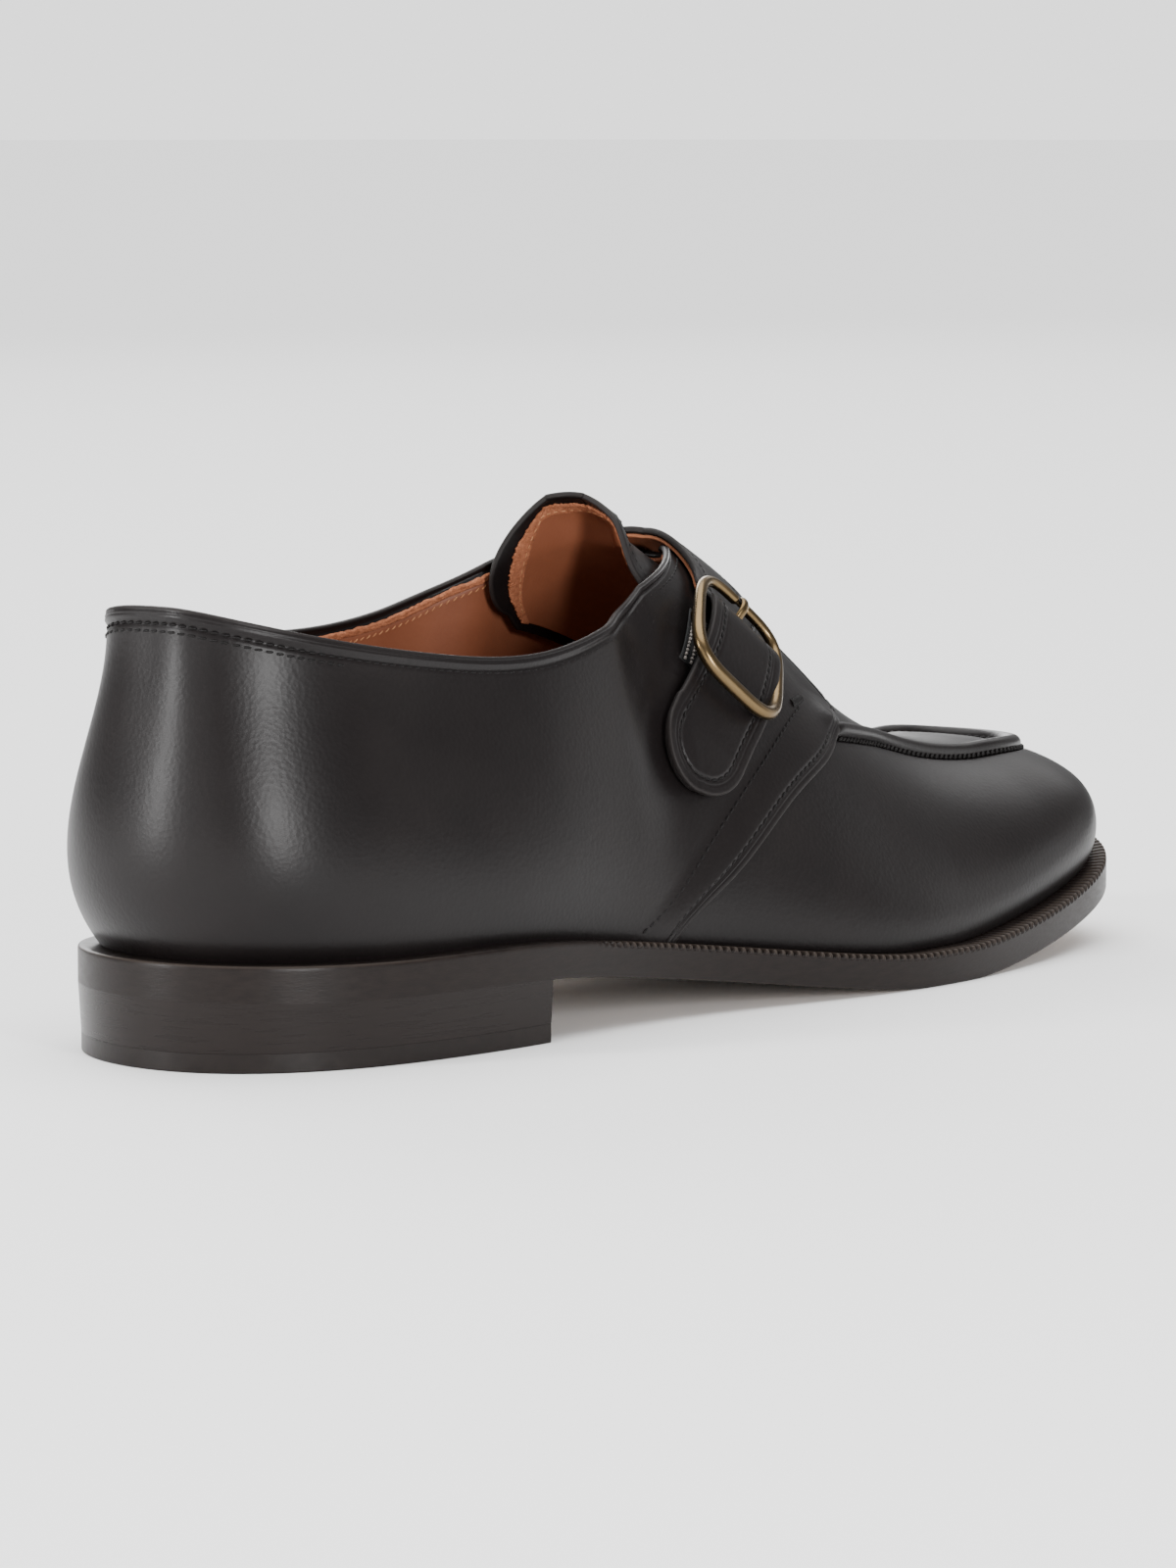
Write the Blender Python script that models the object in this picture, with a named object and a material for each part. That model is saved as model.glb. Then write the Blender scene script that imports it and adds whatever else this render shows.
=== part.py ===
"""Single-strap monk shoe with a hand-sewn apron, right foot, a man's size 43.

+X runs from heel to toe, +Y to the inner (medial) side, +Z up. The shoe stands on z = 0 with the
middle of its bounding box over the origin. All tables are in millimetres, and the meshes in metres.
"""
import math

import bmesh
import bpy
import numpy as np

MM = 0.001

# ---------------------------------------------------------------- driving sizes
LENGTH = 305.0           # outsole from heel to toe
HEEL_LENGTH = 80.0       # back of the heel to its breast
HEEL_RADIUS = 37.0       # plan radius at the very back
TOE_RADIUS = 35.0        # plan radius at the very front
TOE_SHIFT = 6.5          # the toe's tip lies this far to the medial side
OUTSOLE = 4.6            # outsole thickness
WELT = 2.8               # welt thickness
WELT_WIDTH = 8.5         # from the sole's edge to the insole
TOP_LIFT = 4.0           # rubber and leather lift under the heel
HEEL_TAPER = 0.6         # the heel block draws in by this much towards the floor
WALL = 2.2               # quarter or vamp leather with its lining
GAP = 0.3                # clearance between neighbouring pieces
INSOLE = 3.6             # insole with its sock
TONGUE = 2.0
STRAP = 2.4              # two layers of leather
GORE = 0.8               # elastic under the buckle

# Half-widths of the outsole on both sides of the straight line from heel to toe.
OUTLINE = (
    # x, lateral, medial
    (25, 33.5, 36.0),
    (50, 39.8, 37.8),
    (76, 41.8, 35.6),
    (105, 41.2, 30.8),
    (135, 43.2, 31.5),
    (170, 50.0, 41.0),
    (200, 53.0, 49.5),
    (230, 50.2, 51.0),
    (262, 43.2, 44.6),
    (287, 32.0, 31.0),
)

# Underside of the outsole: heel seat, arch, ball and toe spring.
BOTTOM = (
    # x, z
    (0, 14.6),
    (40, 13.7),
    (80, 13.2),
    (110, 10.2),
    (140, 6.2),
    (168, 2.4),
    (192, 0.0),
    (212, 0.0),
    (240, 2.8),
    (275, 9.0),
    (305, 16.5),
)

# Crest of the upper along its middle, from the tongue's end to the toe.
CREST = (
    # x, y, z
    (138, 3.0, 112.0),
    (152, 4.5, 103.8),
    (166, 6.0, 96.2),
    (180, 6.8, 88.0),
    (193, 7.4, 78.2),
    (206, 7.6, 67.6),
    (220, 7.2, 58.0),
    (234, 6.6, 51.4),
    (248, 6.0, 47.4),
    (262, 6.0, 45.4),
    (275, 6.0, 44.6),
)

# One rib of the upper per row: it rises from the feather line at x, swells outwards and ends at
# its top. Ribs in front of the ankle end on the crest, at top_x.
RIBS_LATERAL = (
    # x, inset, swell, rise, top_x, top_y, top_z, reach, drop, crest
    (12, 4.6, 16.0, 22.0, 9.0, -14.5, 91.5, -1.0, 22.0, 0),
    (35, 4.6, 10.5, 21.0, 28.5, -26.1, 86.5, 1.0, 20.0, 0),
    (65, 4.2, 7.0, 19.0, 60.0, -28.2, 87.0, 3.0, 20.0, 0),
    (90, 4.0, 6.0, 18.0, 88.0, -24.2, 96.0, 9.0, 20.0, 0),
    (112, 4.0, 5.0, 20.0, 115.0, -13.0, 107.0, 15.0, 14.0, 0),
    (135, 4.0, 5.0, 22.0, 142.0, 3.4, 110.0, 23.0, 4.0, 1),
    (160, 4.4, 5.0, 20.0, 168.0, 6.0, 98.0, 26.5, 0.0, 1),
    (190, 5.0, 5.0, 18.0, 196.0, 7.4, 76.0, 25.5, 0.0, 1),
    (220, 5.4, 6.0, 16.0, 223.0, 7.0, 56.4, 28.0, 0.0, 1),
    (250, 5.2, 8.0, 15.2, 246.0, 6.0, 47.9, 31.0, 0.0, 1),
    (277, 4.4, 8.5, 15.0, 257.0, 6.0, 46.0, 31.0, 0.0, 1),
    (297, 4.0, 7.5, 16.0, 261.0, 6.0, 45.5, 29.0, 0.0, 1),
)
RIBS_MEDIAL = (
    # x, inset, swell, rise, top_x, top_y, top_z, reach, drop, crest
    (12, 4.6, 16.0, 22.0, 8.6, 16.0, 91.0, -2.0, 22.0, 0),
    (35, 4.6, 9.0, 21.0, 28.5, 25.0, 86.0, -0.5, 20.0, 0),
    (65, 4.2, 6.0, 19.0, 60.0, 27.5, 89.0, 3.0, 20.0, 0),
    (90, 4.0, 6.0, 18.0, 88.0, 24.5, 97.0, 9.0, 20.0, 0),
    (112, 4.0, 6.0, 20.0, 115.0, 17.0, 107.0, 13.0, 14.0, 0),
    (135, 4.0, 6.0, 24.0, 142.0, 3.4, 110.0, 22.0, 4.0, 1),
    (160, 4.4, 6.0, 22.0, 168.0, 6.0, 98.0, 25.5, 0.0, 1),
    (190, 5.0, 6.0, 18.0, 196.0, 7.4, 76.0, 24.5, 0.0, 1),
    (220, 5.4, 7.0, 16.0, 223.0, 7.0, 56.4, 27.0, 0.0, 1),
    (250, 5.2, 8.0, 15.2, 246.0, 6.0, 47.9, 30.0, 0.0, 1),
    (277, 4.4, 8.5, 15.0, 257.0, 6.0, 46.0, 30.0, 0.0, 1),
    (297, 4.0, 7.5, 16.0, 261.0, 6.0, 45.5, 29.0, 0.0, 1),
)
RIB_HEEL = (4.6, 16.0, 22.0, 4.6, 0.0, 92.6, -2.0, 22.0, 0)
RIB_TOE = (4.0, 7.0, 16.5, 262.0, 6.0, 45.4, 29.0, 0.0, 1)

# Height of the collar's edge over each rib. Past the last row but one it has reached the crest.
COLLAR_HEEL = 92.6
COLLAR_TOP = 110.0       # above the crest, so that the upper is shut from the throat to the toe
COLLAR_LOW = 0.4         # no collar edge lies lower than this share of its rib
COLLAR_LATERAL = (
    # x, z
    (12, 91.1),
    (35, 86.0),
    (65, 80.7),
    (90, 79.0),
    (110, 82.0),
    (125, 86.0),
    (137, 92.0),
    (150, 101.5),
    (168, 104.0),
)
COLLAR_MEDIAL = (
    # x, z
    (12, 90.6),
    (35, 85.4),
    (65, 82.0),
    (90, 81.5),
    (110, 86.0),
    (125, 92.8),
    (137, 97.5),
    (150, 101.4),
    (168, 104.0),
)

# The strap from where its round tip begins, over the crest (where over is 1) to its root on the
# medial side. Its edges lie over the ribs at rear_x and front_x; clear is the height of its underside.
STRAP_TIP = (129.4, 0.326)              # x and over of the tip's point
STRAP_TIP_ANGLES = (12.0, 90.0, 7)      # from its point to the first row, in degrees, and the rows
STRAP_ROWS = (
    # rear_x, rear_over, front_x, front_over, clear
    (128.5, 0.449, 144.8, 0.362, 0.9),
    (132.8, 0.481, 148.8, 0.405, 1.6),
    (137.0, 0.519, 151.9, 0.451, 2.4),
    (141.5, 0.567, 155.8, 0.504, 3.9),
    (145.3, 0.614, 159.6, 0.552, 4.6),
    (148.6, 0.659, 162.8, 0.597, 4.2),
    (150.7, 0.692, 164.9, 0.631, 1.7),
    (152.8, 0.733, 168.5, 0.665, 0.9),
    (155.4, 0.787, 171.0, 0.719, 0.7),
    (157.0, 0.900, 174.0, 0.880, 0.6),
    (157.5, 1.000, 175.5, 1.000, 0.6),
    (157.0, 1.100, 175.5, 1.120, 0.6),
    (155.0, 1.200, 174.0, 1.220, 0.5),
    (150.0, 1.310, 169.5, 1.340, 0.5),
    (143.5, 1.410, 163.0, 1.450, 0.5),
    (137.0, 1.500, 156.0, 1.540, 0.5),
)

# The elastic that holds the buckle, from its slit in the quarter to past the bar.
GORE_ROWS = (
    # rear_x, rear_over, front_x, front_over
    (135.5, 0.529, 153.3, 0.449),
    (140.0, 0.577, 157.7, 0.500),
    (143.6, 0.620, 161.4, 0.544),
    (146.3, 0.654, 164.1, 0.578),
)

# Tongue: where its free end lies over the ribs, from its lateral edge to its medial edge.
TONGUE_END = (
    # over, x
    (0.60, 150.0),
    (0.68, 142.0),
    (0.78, 138.5),
    (0.90, 138.0),
    (1.00, 136.5),
    (1.10, 132.5),
    (1.18, 126.5),
    (1.26, 123.6),
    (1.33, 124.6),
    (1.385, 128.6),
    (1.42, 137.0),
)
TONGUE_ROOT = (208.0, 0.68, 1.34)   # where it is sewn in: x, and over at its two edges
TONGUE_FLARE = 3.0       # rise of the free end above the quarters' line
TONGUE_FREE = 0.16       # it has all of that rise this share of a rib away from their edges
TONGUE_CROWD = 1.2       # power that brings its rows closer together at the free end
TONGUE_CLEAR = 1.4       # clearance under the quarters, whose facets sag between ribs

# Buckle: a rounded square of wire, tangent to the shoe's lateral side.
BUCKLE_CENTRE = (154.4, -30.4, 76.1)
BUCKLE_ACROSS = (0.727, -0.222, -0.649)   # along its bars
BUCKLE_ALONG = (0.658, 0.493, 0.569)      # along the strap
BUCKLE_SIZE = (26.4, 28.0)                # between wire centres, across and along
BUCKLE_CORNER = 8.0
FRAME_WIRE = (2.3, 3.2)                   # diameter at the prong's side and opposite it
# Half of the centre bar, which dips under the strap.
BAR_ROWS = (
    # across, out
    (13.8, -0.3),
    (12.9, -1.7),
    (11.6, -2.7),
    (10.0, -2.85),
    (4.0, -2.85),
)
BAR_WIRE = 1.5
# The prong's middle line seen along the bar, and its half-sizes.
PRONG_LOOP = 1.25                         # radius of its hook round the bar
PRONG_HOOK = (1.3, 0.25)                  # half-sizes of the hook
PRONG_TURNS = (165.0, 320.0, 12)          # the hook's first and last angle in degrees, and its rows
PRONG_ROWS = (
    # along, out, half_width, half_thickness
    (3.5, -2.8, 1.2, 0.4),
    (7.0, -2.2, 1.0, 0.5),
    (8.9, -0.9, 0.9, 0.6),
    (10.2, 0.7, 0.9, 0.7),
    (11.6, 2.1, 0.9, 0.75),
    (13.4, 2.6, 0.85, 0.75),
    (15.0, 2.2, 0.8, 0.65),
    (16.0, 1.2, 0.7, 0.5),
)
SLOT = (6.0, 12.4, 2.8)                   # hole in the strap for it: from, to and width, along


# ---------------------------------------------------------------- curves
def spline(knots, values, at, ends="natural"):
    """Cubic spline through table rows with a continuous second derivative.

    ends: natural (no curvature), flat (no slope) or periodic (the last row repeats the first).
    """
    k = np.asarray(knots, float)
    v = np.asarray(values, float)
    n = len(k)
    step = np.diff(k)
    slope = np.diff(v) / step
    rows = np.zeros((n, n))
    right = np.zeros(n)
    for i in range(1, n - 1):
        rows[i, i - 1:i + 2] = step[i - 1], 2 * (step[i - 1] + step[i]), step[i]
        right[i] = 6 * (slope[i] - slope[i - 1])
    if ends == "periodic":
        rows[0, 0], rows[0, -1] = 1, -1
        rows[-1, -1] = 2 * step[-1]
        rows[-1, -2] = step[-1]
        rows[-1, 0] = 2 * step[0]
        rows[-1, 1] = step[0]
        right[-1] = 6 * (slope[0] - slope[-1])
    elif ends == "flat":
        rows[0, :2] = 2 * step[0], step[0]
        right[0] = 6 * slope[0]
        rows[-1, -2:] = step[-1], 2 * step[-1]
        right[-1] = -6 * slope[-1]
    else:
        rows[0, 0] = rows[-1, -1] = 1
    bend = np.linalg.solve(rows, right)
    x = np.asarray(at, float)
    i = np.clip(np.searchsorted(k, x, side="right") - 1, 0, n - 2)
    a = (k[i + 1] - x) / step[i]
    b = (x - k[i]) / step[i]
    return (a * v[i] + b * v[i + 1]
            + ((a ** 3 - a) * bend[i] + (b ** 3 - b) * bend[i + 1]) * step[i] ** 2 / 6)


def column(table, i):
    return [row[i] for row in table]


def turn_at(x):
    """The outline's turning angle at x: 0 at the heel, pi at the toe."""
    return np.arccos(1 - 2 * np.asarray(x, float) / LENGTH)


def outline(turn):
    """Outsole edge at an angle from 0 to 2 pi: lateral side first, then the medial side back."""
    side = np.where(turn <= math.pi, -1.0, 1.0)
    angle = np.where(turn <= math.pi, turn, 2 * math.pi - turn)
    knots = turn_at(column(OUTLINE, 0))
    lateral = np.array(column(OUTLINE, 1), float)
    medial = np.array(column(OUTLINE, 2), float)
    back, front = (math.sqrt(radius * LENGTH / 2) for radius in (HEEL_RADIUS, TOE_RADIUS))
    full = np.concatenate([[0], knots, [math.pi]])
    girth = np.concatenate([[back], (lateral + medial) / 2 / np.sin(knots), [front]])
    middle = np.concatenate([[0], (medial - lateral) / 2, [TOE_SHIFT]])
    half = spline(full, girth, angle, "flat") * np.sin(angle)
    centre = spline(full, middle, angle, "flat")
    return np.stack([LENGTH * (1 - np.cos(angle)) / 2, centre + side * half], -1)


def outward(turn):
    """Unit normal of the outline, pointing away from the shoe."""
    tiny = 1e-3
    along = outline((turn + tiny) % (2 * math.pi)) - outline((turn - tiny) % (2 * math.pi))
    normal = np.stack([along[..., 1], -along[..., 0]], -1)
    return normal / np.linalg.norm(normal, axis=-1, keepdims=True)


def bottom(x):
    """Height of the outsole's underside, with a flat tread under the ball."""
    return np.maximum(spline(column(BOTTOM, 0), column(BOTTOM, 1), x), 0.0)


def seat(x):
    """Height of the welt's top, where the upper stands."""
    return bottom(x) + OUTSOLE + GAP + WELT


def crest(x):
    """The middle line of the upper at x: its y, its z and its slope over one millimetre."""
    knots, y, z = (column(CREST, i) for i in range(3))
    slope = spline(knots, z, x + 0.5) - spline(knots, z, x - 0.5)
    return spline(knots, y, x), spline(knots, z, x), slope


def rib_values(turn):
    """Every column of the rib tables at an angle, as one periodic spline round the shoe."""
    lateral = [(turn_at(row[0]), row[1:]) for row in RIBS_LATERAL]
    medial = [(2 * math.pi - turn_at(row[0]), row[1:]) for row in reversed(RIBS_MEDIAL)]
    rows = [(0.0, RIB_HEEL), *lateral, (math.pi, RIB_TOE), *medial, (2 * math.pi, RIB_HEEL)]
    knots = [row[0] for row in rows]
    return [spline(knots, [row[1][i] for row in rows], turn, "periodic") for i in range(9)]


def last(turn, up):
    """Outer surface of the upper: turn goes round the shoe, up goes from 0 (feather) to 1 (top).

    Each rib is a cubic curve with one handle at its foot and one at its top.
    """
    turn, up = np.broadcast_arrays(np.asarray(turn, float), np.asarray(up, float))
    inset, swell, rise, top_x, top_y, top_z, reach, drop, ridge = rib_values(turn)
    normal = outward(turn)
    foot = outline(turn) - inset[..., None] * normal
    foot = np.concatenate([foot, (seat(foot[..., 0]) + GAP)[..., None]], -1)
    flat = np.concatenate([normal, np.zeros_like(inset)[..., None]], -1)
    high = np.array([0.0, 0.0, 1.0])
    crest_y, crest_z, slope = crest(np.clip(top_x, CREST[0][0], CREST[-1][0]))
    on = np.clip(ridge, 0, 1)
    on = on * on * (3 - 2 * on)
    top = np.stack([top_x, top_y + (crest_y - top_y) * on, top_z + (crest_z - top_z) * on], -1)
    tilt = on * slope * normal[..., 0]
    first = foot + swell[..., None] * flat + rise[..., None] * high
    second = top + reach[..., None] * flat + (tilt * reach - drop)[..., None] * high
    s = up[..., None]
    point = ((1 - s) ** 3 * foot + 3 * (1 - s) ** 2 * s * first
             + 3 * (1 - s) * s ** 2 * second + s ** 3 * top)
    return point


def collar(turn, halvings=24):
    """How far up each rib the collar's edge lies, from a bisection on the height."""
    turn = np.asarray(turn, float)
    lateral = [(turn_at(x), z) for x, z in COLLAR_LATERAL]
    medial = [(2 * math.pi - turn_at(x), z) for x, z in reversed(COLLAR_MEDIAL)]
    rows = [(0.0, COLLAR_HEEL), *lateral, (math.pi, COLLAR_TOP), *medial, (2 * math.pi, COLLAR_HEEL)]
    height = spline([row[0] for row in rows], [row[1] for row in rows], turn, "periodic")
    low, high = np.full(turn.shape, COLLAR_LOW), np.ones(turn.shape)
    for _ in range(halvings):
        middle = (low + high) / 2
        under = last(turn, middle)[..., 2] < height
        low, high = np.where(under, middle, low), np.where(under, high, middle)
    return (low + high) / 2


def normal_at(turn, up):
    """Unit normal of the last's surface, pointing out of the shoe."""
    tiny = 1e-3
    low = np.maximum(np.asarray(up, float) - tiny, 0.0)
    high = np.minimum(np.asarray(up, float) + tiny, 1.0)
    around = last(turn + tiny, (low + high) / 2) - last(turn - tiny, (low + high) / 2)
    upward = last(turn, high) - last(turn, low)
    normal = np.cross(around, upward)
    return normal / np.linalg.norm(normal, axis=-1, keepdims=True)


def skin(turn, up, depth):
    """A point on the last's surface moved outwards by depth (inwards if negative)."""
    turn, up = np.broadcast_arrays(np.asarray(turn, float), np.asarray(up, float))
    return last(turn, up) + depth * normal_at(turn, up)


def over_skin(x, over, depth):
    """A point over the rib at x: over runs 0 to 1 up the lateral side and 1 to 2 down the medial."""
    x, over = np.broadcast_arrays(np.asarray(x, float), np.asarray(over, float))
    turn = np.where(over <= 1, turn_at(x), 2 * math.pi - turn_at(x))
    return skin(turn, np.where(over <= 1, over, 2 - over), depth)


def smooth_rows(table, count):
    """Every column of a table as a spline over its rows, read at count even steps."""
    rows = np.arange(len(table))
    at = np.linspace(0, len(table) - 1, count)
    return [spline(rows, column(table, i), at) for i in range(len(table[0]))]


# ---------------------------------------------------------------- meshes
def material(name, colour, roughness, metallic=0.0):
    made = bpy.data.materials.new(name)
    made.use_nodes = True
    shader = made.node_tree.nodes["Principled BSDF"]
    shader.inputs["Base Color"].default_value = (*colour, 1.0)
    shader.inputs["Roughness"].default_value = roughness
    shader.inputs["Metallic"].default_value = metallic
    made.diffuse_color = (*colour, 1.0)
    return made


def add(name, points, faces, finish, sharp=40.0):
    """Make one object of points in millimetres, with its faces turned outwards."""
    mesh = bpy.data.meshes.new(name)
    mesh.from_pydata([tuple(p) for p in (np.asarray(points) - ORIGIN) * MM], [], faces)
    work = bmesh.new()
    work.from_mesh(mesh)
    bmesh.ops.recalc_face_normals(work, faces=work.faces)
    work.to_mesh(mesh)
    work.free()
    mesh.shade_smooth()
    mesh.set_sharp_from_angle(angle=math.radians(sharp))
    mesh.materials.append(finish)
    made = bpy.data.objects.new(name, mesh)
    bpy.context.scene.collection.objects.link(made)
    return made


def grid_faces(rows, columns, start=0, closed=False):
    """Quads of a grid whose points are stored row by row; closed joins the last column to the first."""
    faces = []
    for i in range(rows - 1):
        for j in range(columns if closed else columns - 1):
            k = (j + 1) % columns
            faces.append((start + i * columns + j, start + i * columns + k,
                          start + (i + 1) * columns + k, start + (i + 1) * columns + j))
    return faces


def slab(name, outer, inner, finish):
    """A closed sheet between two grids of the same size."""
    rows, columns = outer.shape[:2]
    count = rows * columns
    faces = grid_faces(rows, columns) + grid_faces(rows, columns, count)
    rim = ([j for j in range(columns)]
           + [i * columns + columns - 1 for i in range(1, rows)]
           + [(rows - 1) * columns + j for j in range(columns - 2, -1, -1)]
           + [i * columns for i in range(rows - 2, 0, -1)])
    for a, b in zip(rim, rim[1:] + rim[:1]):
        faces.append((a, b, b + count, a + count))
    points = np.concatenate([outer.reshape(-1, 3), inner.reshape(-1, 3)])
    return add(name, points, faces, finish)


def plan(inset, turns):
    """The sole's outline drawn in by inset."""
    return outline(turns) - inset * outward(turns)


def side_turns(count, end_x=LENGTH):
    """Angles from the heel's middle to end_x, even along the outline's own angle."""
    return np.linspace(0.0, float(turn_at(end_x)), count)


def plate(name, edges, levels, finish, end_x=LENGTH, count=44):
    """A closed plate. edges are its insets below and above, levels its heights over x below and above.

    It runs from the heel to the toe, or to a straight front at end_x.
    """
    lateral = side_turns(count, end_x)
    medial = 2 * math.pi - lateral
    layers = []
    for inset, level in zip(edges, levels):
        left, right = plan(inset, lateral), plan(inset, medial % (2 * math.pi))
        both = np.stack([left, right], 1)
        layers.append(np.concatenate([both, level(both[..., 0])[..., None]], -1))
    low, high = layers
    points = np.concatenate([low.reshape(-1, 3), high.reshape(-1, 3)])
    size = count * 2
    faces = []
    for i in range(count - 1):
        a, b, c, d = 2 * i, 2 * i + 1, 2 * i + 3, 2 * i + 2
        faces += [(a, d, c, b), (a + size, b + size, c + size, d + size),
                  (a, a + size, d + size, d), (b, c, c + size, b + size)]
    last_row = 2 * (count - 1)
    faces.append((last_row, last_row + size, last_row + 1 + size, last_row + 1))
    faces.append((0, 1, 1 + size, size))
    made = add(name, points, faces, finish)
    work = bmesh.new()
    work.from_mesh(made.data)
    bmesh.ops.remove_doubles(work, verts=work.verts, dist=1e-6)
    bmesh.ops.dissolve_degenerate(work, edges=work.edges, dist=1e-6)
    bmesh.ops.recalc_face_normals(work, faces=work.faces)
    work.to_mesh(made.data)
    work.free()
    return made


def welt_ring(name, finish, count=88):
    """The strip between the upper and the outsole, all the way round."""
    turns = np.linspace(0, 2 * math.pi, count, endpoint=False)
    rings = []
    for inset, high in ((0.0, 0.0), (0.0, 1.0), (WELT_WIDTH, 1.0), (WELT_WIDTH, 0.0)):
        edge = plan(inset, turns)
        z = bottom(edge[:, 0]) + OUTSOLE + GAP + high * WELT
        rings.append(np.concatenate([edge, z[:, None]], -1))
    points = np.concatenate(rings)
    faces = []
    for ring in range(4):
        here, there = ring * count, (ring + 1) % 4 * count
        for j in range(count):
            k = (j + 1) % count
            faces.append((here + j, here + k, there + k, there + j))
    return add(name, points, faces, finish)


def sweep(name, path, up, half_sizes, finish, sides=10, closed=False):
    """A wire along a path: an oval section with half-sizes across and along the up directions."""
    path, up = np.asarray(path, float), np.asarray(up, float)
    ahead = np.roll(path, -1, 0) - np.roll(path, 1, 0)
    if not closed:
        ahead[0], ahead[-1] = path[1] - path[0], path[-1] - path[-2]
    ahead /= np.linalg.norm(ahead, axis=1, keepdims=True)
    across = np.cross(ahead, up)
    across /= np.linalg.norm(across, axis=1, keepdims=True)
    lift = np.cross(across, ahead)
    angle = np.linspace(0, 2 * math.pi, sides, endpoint=False)
    half = np.broadcast_to(np.asarray(half_sizes, float), (len(path), 2))
    ring = (path[:, None] + np.cos(angle)[None, :, None] * half[:, :1, None] * across[:, None]
            + np.sin(angle)[None, :, None] * half[:, 1:, None] * lift[:, None])
    count = len(path)
    faces = grid_faces(count, sides, closed=True)
    if closed:
        faces += [(j + (count - 1) * sides, (j + 1) % sides + (count - 1) * sides, (j + 1) % sides, j)
                  for j in range(sides)]
    else:
        faces += [tuple(range(sides)), tuple(range((count - 1) * sides, count * sides))]
    return add(name, ring.reshape(-1, 3), faces, finish)


# ---------------------------------------------------------------- sole
def make_sole(dark, rubber, tan, heel_count=26):
    """The flat pieces from the insole down to the floor, each level given as a height over x."""
    plate("outsole", (0.0, 0.0), (bottom, lambda x: bottom(x) + OUTSOLE), dark)
    welt_ring("welt", dark)
    insole_edge = WELT_WIDTH + 1.5 * GAP
    plate("insole", (insole_edge, insole_edge),
          (lambda x: bottom(x) + OUTSOLE + GAP, lambda x: bottom(x) + OUTSOLE + GAP + INSOLE), tan)
    plate("heel_stack", (HEEL_TAPER, 0.0),
          (lambda x: 0 * x + TOP_LIFT + GAP, lambda x: bottom(x) - GAP), dark, HEEL_LENGTH, heel_count)
    plate("top_lift", (HEEL_TAPER, HEEL_TAPER), (lambda x: 0 * x, lambda x: 0 * x + TOP_LIFT),
          rubber, HEEL_LENGTH, heel_count)


# ---------------------------------------------------------------- upper
THROAT = (124.0, 166.0)      # stretch of the length with closer ribs
RIB_COUNTS = (17, 14, 21)    # ribs behind, beside and in front of the throat
SHUT = 0.995                 # a collar edge past this share of its rib has reached the crest


def rib_turns():
    """Angles of the upper's ribs on the lateral side, closer together at the throat."""
    stops = [0.0, float(turn_at(THROAT[0])), float(turn_at(THROAT[1])), math.pi]
    runs = [np.linspace(start, end, count, endpoint=False)
            for start, end, count in zip(stops, stops[1:], RIB_COUNTS)]
    return np.concatenate([*runs, [math.pi]])


def make_upper(leather, rows=15):
    """One shell from the feather line to the collar, closed on the crest in front of the throat."""
    lateral = rib_turns()
    turns = np.concatenate([lateral, 2 * math.pi - lateral[-2:0:-1]])
    ends = collar(turns)
    count = len(turns)
    partner = [(count - j) % count for j in range(count)]
    ahead = abs(turns - math.pi) < math.pi - float(turn_at(THROAT[0]))
    shut = [ahead[j] and min(ends[j], ends[partner[j]]) > SHUT for j in range(count)]
    ends = np.where(shut, 1.0, ends)
    share = np.linspace(0, 1, rows)
    grid = last(turns[:, None], share[None, :] * ends[:, None])
    points = list(grid.reshape(-1, 3))
    index = np.arange(count * rows).reshape(count, rows)
    for j in range(count):
        k = partner[j]
        if shut[j] and j < k:
            middle = (points[index[j, -1]] + points[index[k, -1]]) / 2
            points[index[j, -1]] = middle
            index[k, -1] = index[j, -1]
    faces = []
    for j in range(count):
        k = (j + 1) % count
        for i in range(rows - 1):
            loop = [index[j, i], index[k, i], index[k, i + 1], index[j, i + 1]]
            loop = [int(v) for n, v in enumerate(loop) if v != loop[n - 1]]
            faces.append(tuple(loop))
    used = sorted({v for face in faces for v in face})
    renumber = {v: n for n, v in enumerate(used)}
    upper = add("upper", [points[v] for v in used],
                [tuple(renumber[v] for v in face) for face in faces], leather)
    if top_faces_upward(upper) < 0:
        upper.data.flip_normals()
    wall = upper.modifiers.new("wall", "SOLIDIFY")
    wall.thickness = WALL * MM
    wall.offset = -1.0
    wall.use_even_offset = True
    return upper


def top_faces_upward(shell, count=20):
    """Sum of the upward parts of the topmost faces' normals: positive when they look up."""
    polygons = sorted(shell.data.polygons, key=lambda face: face.center.z)[-count:]
    return sum(face.normal.z for face in polygons)


def tongue_rise(x, over):
    """Height of the tongue above its place under the quarters: it springs open in the throat."""
    lateral = collar(turn_at(x))
    medial = 2 - collar(2 * math.pi - turn_at(x))
    free = np.clip(np.minimum(over - lateral, medial - over) / TONGUE_FREE, 0, 1)
    return TONGUE_FLARE * free * free * (3 - 2 * free)


def make_tongue(leather, along=16, across=18):
    """A half-pipe under the quarters, with a round free end that springs up."""
    x_root, low_root, high_root = TONGUE_ROOT
    over_end, x_end = smooth_rows(TONGUE_END, across + 1)
    over_root = np.linspace(low_root, high_root, across + 1)
    run = np.linspace(0, 1, along)[:, None] ** TONGUE_CROWD
    x = x_end[None, :] + (x_root - x_end[None, :]) * run
    over = over_end[None, :] + (over_root - over_end)[None, :] * run
    depth = (tongue_rise(x, over) - WALL - TONGUE_CLEAR)[..., None]
    return slab("tongue", over_skin(x, over, depth), over_skin(x, over, depth - TONGUE), leather)


# ---------------------------------------------------------------- strap and buckle
def band(edges, across):
    """x and over of a band's grid: every row runs straight from the rear edge to the front edge."""
    rear_x, rear_over, front_x, front_over = (edge[:, None] for edge in edges)
    share = np.linspace(0, 1, across)[None, :]
    return rear_x * (1 - share) + front_x * share, rear_over * (1 - share) + front_over * share


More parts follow.
